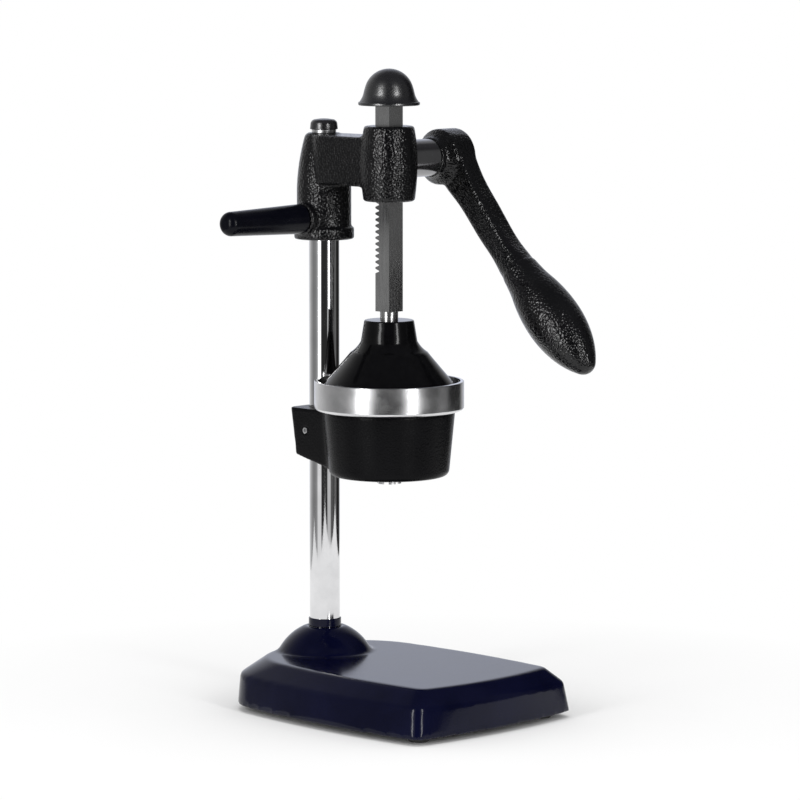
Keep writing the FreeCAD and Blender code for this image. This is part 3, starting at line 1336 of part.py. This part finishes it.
flank_radii = ["pinion_root_r", "pinion_base_r", "pinion_pitch_r", "shaft_r-0.7", "shaft_r", "shaft_r+1"]
low_side = [flank(radius, "-") for radius in flank_radii]
high_side = [flank(radius, "+") for radius in flank_radii]
outline(tooth_gap, low_side + high_side[::-1])
tooth_gap_cut = pushed(shaft, "tooth_gap_cut", tooth_gap, "2*teeth_half_len+0.5", cut=True, reverse=True)
repeated_round(shaft, "tooth_gaps_cut", tooth_gap_cut, "X_Axis", "pinion_teeth")
shaft_key_seat = new_sketch(shaft, "shaft_key_seat", "XY_Plane", "spigot_shaft_r+2")
outline(shaft_key_seat, [
    ("key_in_x", "-key_w/2"),
    ("key_in_x+key_len", "-key_w/2"),
    ("key_in_x+key_len", "key_w/2"),
    ("key_in_x", "key_w/2"),
])
pushed(shaft, "shaft_key_cut", shaft_key_seat, "key_depth+2", cut=True)
turned(shaft, "shaft_thread", [
    ("spigot_end_x+1", "0"),
    ("spigot_end_x+1", "bolt10_r+thread_gap"),
    ("spigot_end_x-lever_bolt_len", "bolt10_r+thread_gap"),
    ("spigot_end_x-lever_bolt_len", "0"),
], plane="XY_Plane", axis="H_Axis", cut=True)
node(shaft, "pinion_shaft")

left_bush = new_body("pinion_bush_left", y="pivot_y", z="pivot_z")
turned(left_bush, "left_bush_turned", [
    ("journal_end_x", "journal_r+slip"),
    ("-teeth_half_len-0.5", "journal_r+slip"),
    ("-teeth_half_len-0.5", "left_bush_r"),
    ("journal_end_x", "left_bush_r"),
], plane="XY_Plane", axis="H_Axis")
node(left_bush, "pinion_bush_left")

right_bush = new_body("pinion_bush_right", y="pivot_y", z="pivot_z")
turned(right_bush, "right_bush_turned", [
    ("right_bush_x", "shaft_r+slip"),
    ("pinion_boss_end_x", "shaft_r+slip"),
    ("pinion_boss_end_x", "right_bush_r"),
    ("right_bush_x", "right_bush_r"),
], plane="XY_Plane", axis="H_Axis")
bush_hole = new_sketch(right_bush, "bush_hole", "XY_Plane")
disc(bush_hole, "groove_x", "0", "grub_r+thread_gap")
pushed(right_bush, "bush_hole_cut", bush_hole, "right_bush_r+2", cut=True)
node(right_bush, "pinion_bush_right")

grub_top = "pivot_z-shaft_r+groove_depth-grub_tip_gap"
grub_len = "pinion_boss_r-shaft_r+groove_depth-grub_tip_gap-grub_sink"
node(socket_screw("grub", "grub_r", grub_len, "grub_socket", "grub_socket_depth",
                  "groove_x", "pivot_y", grub_top, "down",
                  ("groove_x", "pivot_y", grub_top + "-(" + grub_len + ")+grub_socket_depth")),
     "shaft_grub_screw")

# Lever: turned hub on the spigot, tapering beam, bulb end, in the lever's own direction
lever_turn = FreeCAD.Rotation(V(1, 0, 0), 90 + num("lever_drop"))
lever = new_body("lever_beam", y="pivot_y", z="pivot_z")
lever.Placement = FreeCAD.Placement(lever.Placement.Base, lever_turn)
lever.setExpression("Placement.Rotation.Angle", bind("90+lever_drop"))
beam = [
    ("-beam_back", "beam_v0", "beam_half", "beam_h0", "beam_round"),
    ("beam_u1", "beam_v1", "beam_half", "beam_h1", "beam_round"),
    ("beam_u2", "beam_v2", "beam_half", "beam_h2", "beam_round"),
    ("beam_u3", "beam_v3", "beam_half", "beam_h3", "beam_round"),
    ("beam_u4", "beam_v4", "beam_half", "beam_h4", "beam_round"),
    ("beam_u5", "beam_v5", "beam_w5", "beam_h5", "beam_round5"),
    ("beam_u6", "beam_v6", "beam_h6", "beam_h6", "beam_round6"),
    ("bulb_u+bulb_neck_s", "bulb_neck_s*tan(bulb_tilt)", "beam_end_r", "beam_end_r",
     "beam_end_r-0.1"),
]
beam_sections = []
for index, (along, across, half_x, half_v, corner) in enumerate(beam):
    section = new_sketch(lever, "beam_section_%d" % index, "XY_Plane", along)
    rounded_rectangle(section, "beam_x", across, half_x, half_v, corner)
    beam_sections.append(section)
beam_loft = lever.newObject("PartDesign::AdditiveLoft", "beam_loft")
beam_loft.Profile = beam_sections[0]
beam_loft.Sections = beam_sections[1:]
doc.recompute()
turned(lever, "lever_hub", [
    ("lever_in_x", "0"),
    ("lever_hub_end_x", "0"),
    ("lever_hub_end_x", "lever_hub_r-lever_hub_round", "lever_hub_round", 1),
    ("lever_hub_end_x-lever_hub_round", "lever_hub_r"),
    ("lever_hub_x", "lever_hub_r"),
    ("collar_face_end_x", "collar_face_r"),
    ("lever_in_x", "collar_face_r"),
], plane="XY_Plane", axis="H_Axis")
turned(lever, "lever_bore", [
    ("lever_in_x-1", "0"),
    ("lever_hub_end_x+1", "0"),
    ("lever_hub_end_x+1", "lever_sink_r"),
    ("lever_sink_x", "lever_sink_r"),
    ("lever_sink_x", "lever_bore_r"),
    ("lever_in_x-1", "lever_bore_r"),
], plane="XY_Plane", axis="H_Axis", cut=True)

bulb_turn = FreeCAD.Rotation(V(1, 0, 0), 90 + num("lever_drop-bulb_tilt"))
bulb = new_body("lever_bulb", x="bulb_x", y="pivot_y-bulb_u*cos(lever_drop)",
                z="pivot_z-bulb_u*sin(lever_drop)")
bulb.Placement = FreeCAD.Placement(bulb.Placement.Base, bulb_turn)
bulb.setExpression("Placement.Rotation.Angle", bind("90+lever_drop-bulb_tilt"))
turned(bulb, "bulb_turned", [
    ("0", "bulb_neck_s"),
    ("bulb_neck_r", "bulb_neck_s", "bulb_neck_arc", -1),
    ("bulb_knee_r", "bulb_knee_s", "bulb_rise_arc", 1),
    ("bulb_belly_r", "bulb_belly_s", "bulb_fall_arc", 1),
    ("bulb_fall_r", "bulb_fall_s", "bulb_nose_arc", 1),
    ("bulb_nose_r", "bulb_nose_s", "bulb_tip_arc", 1),
    ("0", "bulb_tip_s"),
])
lever_solid = joined("lever_solid", [lever, bulb])
lever_key_seat = block("lever_key_seat", "key_in_x", "pivot_y-key_w/2",
                       "pivot_z+spigot_shaft_r-key_depth", "key_len", "key_w", "key_h+0.1")
node(cut_away("lever_cut", lever_solid, lever_key_seat), "lever_arm")

node(block("key_block", "key_in_x", "pivot_y-key_w/2", "pivot_z+spigot_shaft_r-key_depth",
           "key_len", "key_w", "key_h"), "lever_key")

lever_washer = new_body("lever_washer", y="pivot_y", z="pivot_z")
turned(lever_washer, "lever_washer_turned", [
    ("lever_sink_x", "bolt10_r+thread_gap"),
    ("lever_sink_x+lever_washer_t", "bolt10_r+thread_gap"),
    ("lever_sink_x+lever_washer_t", "lever_washer_r"),
    ("lever_sink_x", "lever_washer_r"),
], plane="XY_Plane", axis="H_Axis")
node(lever_washer, "lever_washer")

lever_bolt_seat = "lever_sink_x+lever_washer_t"
node(joined("lever_bolt_all", [
    hexagon("lever_bolt_head", "lever_bolt_flats", "bolt10_head_h", lever_bolt_seat, "pivot_y",
            "pivot_z", "right"),
    cylinder("lever_bolt_shank", "bolt10_r", "lever_bolt_len", lever_bolt_seat, "pivot_y", "pivot_z",
             "left"),
]), "lever_bolt")

# Side handle: plastic grip on a clamp stud through the hub
grip = new_body("handle_grip", y="column_y", z="handle_z")
turned(grip, "grip_turned", [
    ("grip_in_x", "stud_r+slip"),
    ("grip_in_x", "grip_in_r-grip_in_round", "grip_in_round", -1),
    ("grip_in_x-grip_in_round", "grip_in_r"),
    ("grip_out_x+grip_out_round", "grip_out_r", "grip_out_round", 1),
    ("grip_out_x", "grip_out_r-grip_out_round"),
    ("grip_out_x", "0"),
    ("grip_bore_end_x", "0"),
    ("grip_bore_end_x", "stud_r+slip"),
], plane="XY_Plane", axis="H_Axis")
node(grip, "handle_grip")
node(cylinder("stud_bar", "stud_r", "stud_in_x-stud_out_x", "stud_out_x", "column_y", "handle_z",
              "right"), "handle_stud")

# Check every object, then write one file per piece
doc.recompute()
for item in doc.Objects:
    state = [word for word in item.State if word in ("Invalid", "Error")]
    if state:
        raise RuntimeError("%s is %s" % (item.Name, state))
os.makedirs("parts", exist_ok=True)
whole = FreeCAD.BoundBox()
for name, item in NODES:
    shape = item.Shape
    if shape.isNull() or not shape.isValid() or not shape.Solids:
        raise RuntimeError("%s has no valid solid" % name)
    shape.exportStep("parts/%s.step" % name)
    whole.add(shape.BoundBox)
    print("%-20s solids %d volume %.1f" % (name, len(shape.Solids), shape.Volume))
print("pieces %d" % len(NODES))
print("x %.2f %.2f y %.2f %.2f z %.2f %.2f" % (whole.XMin, whole.XMax, whole.YMin, whole.YMax,
                                             whole.ZMin, whole.ZMax))
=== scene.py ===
import json
import math

import bmesh
import bpy
from mathutils import Matrix, Vector


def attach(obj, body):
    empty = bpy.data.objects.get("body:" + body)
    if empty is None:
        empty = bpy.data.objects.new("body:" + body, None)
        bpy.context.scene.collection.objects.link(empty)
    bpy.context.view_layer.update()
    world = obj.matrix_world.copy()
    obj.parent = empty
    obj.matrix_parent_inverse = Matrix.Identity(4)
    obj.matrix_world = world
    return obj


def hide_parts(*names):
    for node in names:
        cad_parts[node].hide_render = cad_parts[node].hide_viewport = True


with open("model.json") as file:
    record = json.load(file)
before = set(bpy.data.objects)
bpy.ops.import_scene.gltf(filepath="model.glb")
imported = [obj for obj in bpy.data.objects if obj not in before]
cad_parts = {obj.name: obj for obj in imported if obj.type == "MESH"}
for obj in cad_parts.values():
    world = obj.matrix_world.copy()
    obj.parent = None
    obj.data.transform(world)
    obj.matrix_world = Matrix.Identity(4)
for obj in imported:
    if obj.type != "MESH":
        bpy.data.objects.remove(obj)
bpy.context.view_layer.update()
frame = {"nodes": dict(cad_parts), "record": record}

# Looks of the lever citrus press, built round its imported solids. Metres, in the frame of the solids.

nodes = frame["nodes"]
AXIS_Y = 0.01483
PIVOT = Vector((0.0, AXIS_Y + 0.0207, 0.4585))
COLUMN_Y = AXIS_Y + 0.077


# Finishes

def new_finish(name, colour, roughness, metallic=0.0, **sockets):
    """Principled material; plain values go on the shader's own sockets."""
    material = bpy.data.materials.new(name)
    material.use_nodes = True
    shader = material.node_tree.nodes["Principled BSDF"]
    shader.inputs["Base Color"].default_value = (*colour, 1)
    shader.inputs["Roughness"].default_value = roughness
    shader.inputs["Metallic"].default_value = metallic
    for socket, value in sockets.items():
        shader.inputs[socket.replace("_", " ")].default_value = value
    return material, shader


def add(material, kind, **values):
    node = material.node_tree.nodes.new(kind)
    for name, value in values.items():
        setattr(node, name, value)
    return node


def grain(material, scale, stretch=(1, 1, 1), detail=3.0, roughness=0.55, turn=(0, 0, 0)):
    """Noise in the piece's own metres, stretched along its axes."""
    links = material.node_tree.links
    place = add(material, "ShaderNodeTexCoord")
    mapping = add(material, "ShaderNodeMapping")
    mapping.inputs["Scale"].default_value = stretch
    mapping.inputs["Rotation"].default_value = turn
    noise = add(material, "ShaderNodeTexNoise")
    noise.inputs["Scale"].default_value = scale
    noise.inputs["Detail"].default_value = detail
    noise.inputs["Roughness"].default_value = roughness
    links.new(place.outputs["Object"], mapping.inputs["Vector"])
    links.new(mapping.outputs["Vector"], noise.inputs["Vector"])
    return noise


def pits(material, scale, smoothness=0.6):
    """Rounded cells, as the orange peel of baked powder."""
    place = add(material, "ShaderNodeTexCoord")
    cells = add(material, "ShaderNodeTexVoronoi", feature="SMOOTH_F1")
    cells.inputs["Scale"].default_value = scale
    cells.inputs["Smoothness"].default_value = smoothness
    material.node_tree.links.new(place.outputs["Object"], cells.inputs["Vector"])
    return cells


def spread(material, source, low, high, start=0.35, stop=0.65):
    """Source turned into values from low to high."""
    ranged = add(material, "ShaderNodeMapRange")
    ranged.inputs["From Min"].default_value = start
    ranged.inputs["From Max"].default_value = stop
    ranged.inputs["To Min"].default_value = low
    ranged.inputs["To Max"].default_value = high
    material.node_tree.links.new(source, ranged.inputs["Value"])
    return ranged.outputs["Result"]


def raise_bumps(material, shader, layers):
    """Bump nodes in a chain; each layer is a height output, a strength and a depth in metres."""
    links = material.node_tree.links
    below = None
    for height, strength, depth in layers:
        bump = add(material, "ShaderNodeBump")
        bump.inputs["Strength"].default_value = strength
        bump.inputs["Distance"].default_value = depth
        links.new(height, bump.inputs["Height"])
        if below is not None:
            links.new(below, bump.inputs["Normal"])
        below = bump.outputs["Normal"]
    links.new(below, shader.inputs["Normal"])


def tint(material, shader, source, dark, light, start=0.3, stop=0.7):
    """Base colour that drifts from dark to light with the source."""
    ramp = add(material, "ShaderNodeValToRGB")
    ramp.color_ramp.elements[0].position = start
    ramp.color_ramp.elements[0].color = (*dark, 1)
    ramp.color_ramp.elements[1].position = stop
    ramp.color_ramp.elements[1].color = (*light, 1)
    material.node_tree.links.new(source, ramp.inputs["Fac"])
    material.node_tree.links.new(ramp.outputs["Color"], shader.inputs["Base Color"])


def baked_powder(name, colour, roughness, peel_scale, peel, speckle, sheen=0.3):
    """Black powder coat: orange peel, a finer speckle and a faint drift of gloss."""
    material, shader = new_finish(name, colour, roughness, Specular_IOR_Level=sheen)
    peel_cells = pits(material, peel_scale)
    fine = grain(material, peel_scale * 1.6, detail=3.0)
    broad = grain(material, 28.0)
    light = tuple(min(1.0, part * 1.5 + 0.0008) for part in colour)
    tint(material, shader, broad.outputs["Fac"], colour, light)
    links = material.node_tree.links
    links.new(spread(material, fine.outputs["Fac"], roughness - 0.06, roughness + 0.08),
              shader.inputs["Roughness"])
    raise_bumps(material, shader, [
        (peel_cells.outputs["Distance"], peel, 0.0007),
        (fine.outputs["Fac"], speckle, 0.0003),
    ])
    return material


def enamel(name, colour, roughness, ripple, sheen=0.3):
    """Smooth glossy coat with a slow ripple."""
    material, shader = new_finish(name, colour, roughness, Specular_IOR_Level=sheen)
    slow = grain(material, 160.0, detail=2.0)
    fine = grain(material, 1400.0, detail=2.0)
    light = tuple(part * 1.4 + 0.0006 for part in colour)
    tint(material, shader, slow.outputs["Fac"], colour, light)
    raise_bumps(material, shader, [
        (slow.outputs["Fac"], ripple, 0.0006),
        (fine.outputs["Fac"], ripple * 0.5, 0.0001),
    ])
    return material


def drawn_metal(name, colour, roughness, scale, stretch, depth, change=0.08, turn=(0, 0, 0), lines_strength=0.25):
    """Metal with fine lines along the way it was drawn, milled or turned."""
    material, shader = new_finish(name, colour, roughness, metallic=1.0)
    lines = grain(material, scale, stretch=stretch, detail=3.0, turn=turn)
    broad = grain(material, 45.0)
    dark = tuple(part * 0.86 for part in colour)
    tint(material, shader, broad.outputs["Fac"], dark, colour)
    material.node_tree.links.new(
        spread(material, lines.outputs["Fac"], max(0.02, roughness - change), roughness + change),
        shader.inputs["Roughness"])
    raise_bumps(material, shader, [(lines.outputs["Fac"], lines_strength, depth)])
    return material


def moulded(name, colour, roughness, scale, strength, sheen=0.3, index=1.5):
    """Moulded plastic or rubber with a fine skin."""
    material, shader = new_finish(name, colour, roughness, Specular_IOR_Level=sheen, IOR=index)
    skin = grain(material, scale, detail=3.0)
    broad = grain(material, 60.0)
    light = tuple(part * 1.4 + 0.0008 for part in colour)
    tint(material, shader, broad.outputs["Fac"], colour, light)
    material.node_tree.links.new(
        spread(material, skin.outputs["Fac"], roughness - 0.04, roughness + 0.06),
        shader.inputs["Roughness"])
    raise_bumps(material, shader, [(skin.outputs["Fac"], strength, 0.0002)])
    return material


BLACK = (0.0016, 0.0016, 0.0020)
FINISH = {
    "base_coat": baked_powder("base_satin_black", (0.0012, 0.0016, 0.0105), 0.11, 1100, 0.02, 0.02, 0.18),
    "head_coat": baked_powder("head_powder_black", BLACK, 0.13, 570, 0.80, 0.12, 0.36),
    "bowl_coat": baked_powder("bowl_powder_black", BLACK, 0.24, 700, 0.20, 0.10, 0.08),
    "lever_coat": baked_powder("lever_powder_black", BLACK, 0.13, 570, 0.76, 0.12, 0.42),
    "dome_coat": enamel("dome_gloss_black", (0.0015, 0.0015, 0.0018), 0.12, 0.07, 0.2),
    "tube_chrome": drawn_metal("column_chrome", (0.76, 0.76, 0.77), 0.05, 260, (1, 1, 0.06), 0.00002, 0.02),
    "rack_steel": drawn_metal("rack_satin_steel", (0.50, 0.50, 0.50), 0.26, 700, (1, 1, 0.06), 0.00001, 0.04),
    # shaft steel: base colour held down to 0.30, darker than bare steel, as a painted dark reflection over the
    # whole shaft
    "shaft_steel": drawn_metal("shaft_steel_painted_dark_reflection", (0.30, 0.30, 0.31), 0.16, 500, (0.1, 1, 1), 0.00001, 0.03),
    "hardware_steel": drawn_metal("zinc_plated_steel", (0.72, 0.72, 0.73), 0.30, 500, (1, 1, 1), 0.00004),
    "ring_aluminium": drawn_metal("ring_polished_aluminium", (0.74, 0.74, 0.75), 0.22, 60, (1, 1, 1), 0.0001, 0.04),
    "cast_aluminium": drawn_metal("cast_aluminium", (0.60, 0.60, 0.61), 0.34, 500, (1, 1, 1), 0.0001, 0.12),
    "bush_bronze": drawn_metal("turned_bronze", (0.60, 0.42, 0.19), 0.30, 700, (1, 0.1, 0.1), 0.00004),
    "grip_plastic": moulded("grip_black_plastic", (0.0014, 0.0015, 0.0034), 0.20, 900, 0.02, 0.12),
    "knob_plastic": moulded("knob_black_plastic", (0.0020, 0.0020, 0.0032), 0.27, 900, 0.50, 0.5, 1.95),
    "foot_rubber": moulded("foot_rubber", (0.035, 0.035, 0.035), 0.70, 900, 0.3),
}
SLOT_OF = {part["node"]: part["material_slot"] for part in frame["record"]["subparts"]}
BODY_OF = {name: body for body, names in frame["record"]["behaviour"]["bodies"].items() for name in names}
for name, item in nodes.items():
    item.data.materials.clear()
    item.data.materials.append(FINISH[SLOT_OF[name]])


# Skins of the castings

def stand_for(piece, node):
    """The piece takes the place, body and finish of a solid."""
    piece.data.materials.clear()
    piece.data.materials.append(FINISH[SLOT_OF[node]])
    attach(piece, BODY_OF[node])
    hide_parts(node)
    return piece


def baked_mesh(item):
    """Plain mesh of an object with its modifiers applied."""
    bpy.context.view_layer.update()
    held = item.evaluated_get(bpy.context.evaluated_depsgraph_get())
    mesh = bpy.data.meshes.new_from_object(held)
    item.modifiers.clear()
    old = item.data
    item.data = mesh
    bpy.data.meshes.remove(old)
    return item


def merged_copy(name, node):
    """Copy of a solid's mesh with its loose triangles joined."""
    mesh = nodes[node].data.copy()
    mesh.name = name
    shell = bmesh.new()
    shell.from_mesh(mesh)
    bmesh.ops.remove_doubles(shell, verts=shell.verts, dist=2e-6)
    shell.to_mesh(mesh)
    shell.free()
    old_normals = mesh.attributes.get("custom_normal")
    if old_normals is not None:
        mesh.attributes.remove(old_normals)
    piece = bpy.data.objects.new(name, mesh)
    bpy.context.scene.collection.objects.link(piece)
    return piece


def cast_skin(name, node, voxel, passes, kept):
    """Skin of a casting: the solid with edges and inner corners run soft, except where kept."""
    piece = merged_copy(name, node)
    remesh = piece.modifiers.new("even_mesh", "REMESH")
    remesh.mode = "VOXEL"
    remesh.voxel_size = voxel
    baked_mesh(piece)
    soft = piece.vertex_groups.new(name="soft")
    chosen = [vertex.index for vertex in piece.data.vertices if not kept(vertex.co)]
    soft.add(chosen, 1.0, "REPLACE")
    smooth = piece.modifiers.new("run_soft", "SMOOTH")
    smooth.vertex_group = "soft"
    smooth.factor = 0.5
    smooth.iterations = passes
    baked_mesh(piece)
    piece.vertex_groups.clear()
    piece.data.shade_smooth()
    return stand_for(piece, node)


def clean_copy(name, node, edge=0.0, angle=32.0):
    """The solid as one joined mesh with smooth faces, and a small turned edge where one is given."""
    piece = merged_copy(name, node)
    if edge > 0:
        turned_edge = piece.modifiers.new("turned_edge", "BEVEL")
        turned_edge.width = edge
        turned_edge.segments = 2
        turned_edge.limit_method = "ANGLE"
        turned_edge.angle_limit = math.radians(40)
        turned_edge.use_clamp_overlap = True
        baked_mesh(piece)
    piece.data.shade_smooth()
    piece.data.set_sharp_from_angle(angle=math.radians(angle))
    flat_faces = piece.modifiers.new("flat_faces", "WEIGHTED_NORMAL")
    flat_faces.keep_sharp = True
    baked_mesh(piece)
    return stand_for(piece, node)


def near_line(point, x, y, radius):
    return math.hypot(point.x - x, point.y - y) < radius


def head_fits(point):
    """Bores of the head that other pieces run in."""
    bar_bore = abs(point.x) < 0.0095 and abs(point.y - AXIS_Y) < 0.0095
    shaft_bore = math.hypot(point.y - PIVOT.y, point.z - PIVOT.z) < 0.0186 and point.x > -0.018
    stud_bore = math.hypot(point.y - COLUMN_Y, point.z - 0.409) < 0.006 and point.x < -0.01
    return bar_bore or shaft_bore or stud_bore or near_line(point, 0, COLUMN_Y, 0.0132)


def no_fits(point):
    return False


coarse = 1.0
head_skin = cast_skin("head_skin", "head_casting", 0.0009 * coarse, 9, head_fits)
base_skin = cast_skin("base_skin", "base_casting", 0.0019 * coarse, 5, no_fits)
bowl_skin = cast_skin("bowl_skin", "bowl_bracket", 0.0010 * coarse, 8, no_fits)
lever_skin = cast_skin("lever_skin", "lever_arm", 0.0011 * coarse, 10, no_fits)

for node, edge in (
        ("column_tube", 0.0), ("column_collar", 0.0), ("strainer_cup", 0.0), ("reamer_cone", 0.0),
        ("press_dome", 0.0), ("top_knob", 0.0), ("bolt_cap", 0.0), ("cap_washer", 0.0002),
        ("pinion_shaft", 0.0), ("handle_grip", 0.0), ("juice_spout", 0.0), ("rubber_feet", 0.0006),
        ("lever_washer", 0.0002), ("lever_bolt", 0.0004), ("head_bolt", 0.0), ("handle_stud", 0.0),
        ("dome_washer", 0.0), ("dome_nut", 0.0003), ("column_foot_bolt", 0.0004),
        ("column_foot_washer", 0.0002), ("bowl_set_screw", 0.0003), ("base_set_screw", 0.0003),
        ("pinion_bush_right", 0.0), ("knob_insert", 0.0), ("rack_bar", 0.0)):
    clean_copy(node + "_finished", node, edge)


# Studio

def lamp(name, place, aim, width, height, power, colour=(1, 1, 1)):
    light = bpy.data.lights.new(name, "AREA")
    light.shape = "RECTANGLE"
    light.size = width
    light.size_y = height
    light.energy = power
    light.color = colour
    item = bpy.data.objects.new(name, light)
    item.location = place
    item.rotation_euler = (Vector(aim) - Vector(place)).to_track_quat("-Z", "Y").to_euler()
    bpy.context.scene.collection.objects.link(item)
    return item


def studio_direction(degrees):
    """Level direction, turned from the photo's own side towards its right."""
    turn = math.radians(degrees)
    near = Vector((-math.sqrt(0.5), -math.sqrt(0.5), 0))
    right = Vector((math.sqrt(0.5), -math.sqrt(0.5), 0))
    return near * math.cos(turn) + right * math.sin(turn)


middle = (0, 0, 0.27)
LAMPS = (("left_strip", -41, 0.36, 18), ("right_strip", 36, 0.24, 15))
for name, degrees, width, power in LAMPS:
    place = studio_direction(degrees) * 1.95 + Vector((0, 0, 0.72))
    lamp(name, place, middle, width, 1.5, power)
top_soft = lamp("top_soft", (0.1, 0.1, 2.2), middle, 1.4, 1.4, 14)
top_soft.visible_glossy = False

floor_mesh = bpy.data.meshes.new("floor")
half = 0.8
floor_mesh.from_pydata([(-half, -half, 0), (half, -half, 0), (half, half, 0), (-half, half, 0)], [],
                       [(0, 1, 2, 3)])
floor = bpy.data.objects.new("floor", floor_mesh)
bpy.context.scene.collection.objects.link(floor)
floor_paint, floor_shader = new_finish("floor_white", (0.90, 0.90, 0.90), 0.9, Specular_IOR_Level=0.0)
floor_noise = grain(floor_paint, 3.0)
tint(floor_paint, floor_shader, floor_noise.outputs["Fac"], (0.89, 0.89, 0.89), (0.91, 0.91, 0.91))


def seen_white(tree):
    """1 for the rays that see the white background: straight, mirrored or through glass."""
    path = tree.nodes.new("ShaderNodeLightPath")
    total = path.outputs["Is Camera Ray"]
    for ray in ("Is Glossy Ray", "Is Transmission Ray"):
        either = tree.nodes.new("ShaderNodeMath")
        either.operation = "MAXIMUM"
        tree.links.new(total, either.inputs[0])
        tree.links.new(path.outputs[ray], either.inputs[1])
        total = either.outputs["Value"]
    return total


# The floor runs out into the white background away from the press
floor_tree = floor_paint.node_tree
floor_seen = seen_white(floor_tree)
glow = add(floor_paint, "ShaderNodeEmission")
glow.inputs["Color"].default_value = (1, 1, 1, 1)
glow.inputs["Strength"].default_value = 1.0
floor_place = add(floor_paint, "ShaderNodeTexCoord")
reach = add(floor_paint, "ShaderNodeVectorMath", operation="LENGTH")
floor_tree.links.new(floor_place.outputs["Object"], reach.inputs[0])
fade = spread(floor_paint, reach.outputs["Value"], 0.0, 1.0, 0.14, 0.50)
amount = add(floor_paint, "ShaderNodeMath", operation="MULTIPLY")
floor_tree.links.new(fade, amount.inputs[0])
floor_tree.links.new(floor_seen, amount.inputs[1])
blend = add(floor_paint, "ShaderNodeMixShader")
floor_tree.links.new(amount.outputs["Value"], blend.inputs["Fac"])
floor_tree.links.new(floor_shader.outputs["BSDF"], blend.inputs[1])
floor_tree.links.new(glow.outputs["Emission"], blend.inputs[2])
floor_tree.links.new(blend.outputs["Shader"], floor_tree.nodes["Material Output"].inputs["Surface"])
floor_paint.cycles.emission_sampling = "NONE"
floor_mesh.materials.append(floor_paint)

# World: white background for the camera; mirrored rays also see the dark sides of the room
world = bpy.data.worlds.new("studio")
bpy.context.scene.world = world
world.use_nodes = True
world.cycles.sampling_method = "NONE"
tree = world.node_tree
tree.nodes.clear()


def world_node(kind, **values):
    node = tree.nodes.new(kind)
    for name, value in values.items():
        setattr(node, name, value)
    return node


def world_math(operation, *values):
    """Math node; a value is a number or an output."""
    node = world_node("ShaderNodeMath", operation=operation)
    for socket, value in zip(node.inputs, values):
        if isinstance(value, (int, float)):
            socket.default_value = value
        else:
            tree.links.new(value, socket)
    return node.outputs["Value"]


def world_dot(vector):
    node = world_node("ShaderNodeVectorMath", operation="DOT_PRODUCT")
    node.inputs[1].default_value = vector
    tree.links.new(direction.outputs["Generated"], node.inputs[0])
    return node.outputs["Value"]


def world_mix(amount, low, high):
    node = world_node("ShaderNodeMixRGB")
    for socket, value in zip(node.inputs, (amount, low, high)):
        if isinstance(value, tuple):
            socket.default_value = value
        else:
            tree.links.new(value, socket)
    return node.outputs["Color"]


direction = world_node("ShaderNodeTexCoord")
around = world_math("ARCTAN2", world_dot(studio_direction(90)), world_dot(studio_direction(0)))
turned = world_math("MULTIPLY_ADD", around, 0.5 / math.pi, 0.5)
sides = world_node("ShaderNodeValToRGB")
room = [(-146, 0.75), (-114, 0.40), (-90, 0.24), (-68, 0.28), (-56, 0.42), (-52, 0.85), (-26, 0.85),
        (-21, 0.03), (21, 0.03), (25, 0.60), (45, 0.60), (50, 0.12), (60, 0.12), (66, 0.08), (80, 0.08),
        (86, 0.15), (100, 0.15), (106, 0.02), (140, 0.02), (152, 0.45)]
stops = sides.color_ramp.elements
for end in stops:
    end.color = (0.82, 0.86, 1.0, 1)
for degrees, value in room:
    stops.new((degrees + 180) / 360).color = (value, value, value, 1)
tree.links.new(turned, sides.inputs["Fac"])
height = world_dot((0, 0, 1))
overhead = world_math("MINIMUM", world_math("MAXIMUM", world_math("MULTIPLY_ADD", height, 2.4, -1.1), 0.0), 1.0)
mirrored = world_mix(overhead, sides.outputs["Color"], (0.12, 0.12, 0.13, 1))
seen = seen_white(tree)
straight = world_node("ShaderNodeLightPath").outputs["Is Camera Ray"]
shown = world_mix(straight, mirrored, (1, 1, 1, 1))
background = world_node("ShaderNodeBackground")
tree.links.new(shown, background.inputs["Color"])
soft_room = world_node("ShaderNodeBackground")
soft_room.inputs["Color"].default_value = (1, 1, 1, 1)
soft_room.inputs["Strength"].default_value = 0.62
mix = world_node("ShaderNodeMixShader")
out = world_node("ShaderNodeOutputWorld")
tree.links.new(seen, mix.inputs["Fac"])
tree.links.new(soft_room.outputs["Background"], mix.inputs[1])
tree.links.new(background.outputs["Background"], mix.inputs[2])
tree.links.new(mix.outputs["Shader"], out.inputs["Surface"])

camera_data = bpy.data.cameras.new("photo_view")
camera_data.sensor_width = 36
camera_data.lens = 191.25
camera_data.clip_end = 30
camera = bpy.data.objects.new("photo_view", camera_data)
camera.location = (-2.4621, -2.4748 + AXIS_Y, 0.6748)
camera.rotation_euler = (math.radians(90 - 6.75), 0, math.radians(-45))
bpy.context.scene.collection.objects.link(camera)
bpy.context.scene.camera = camera
bpy.context.scene.view_settings.view_transform = "Standard"
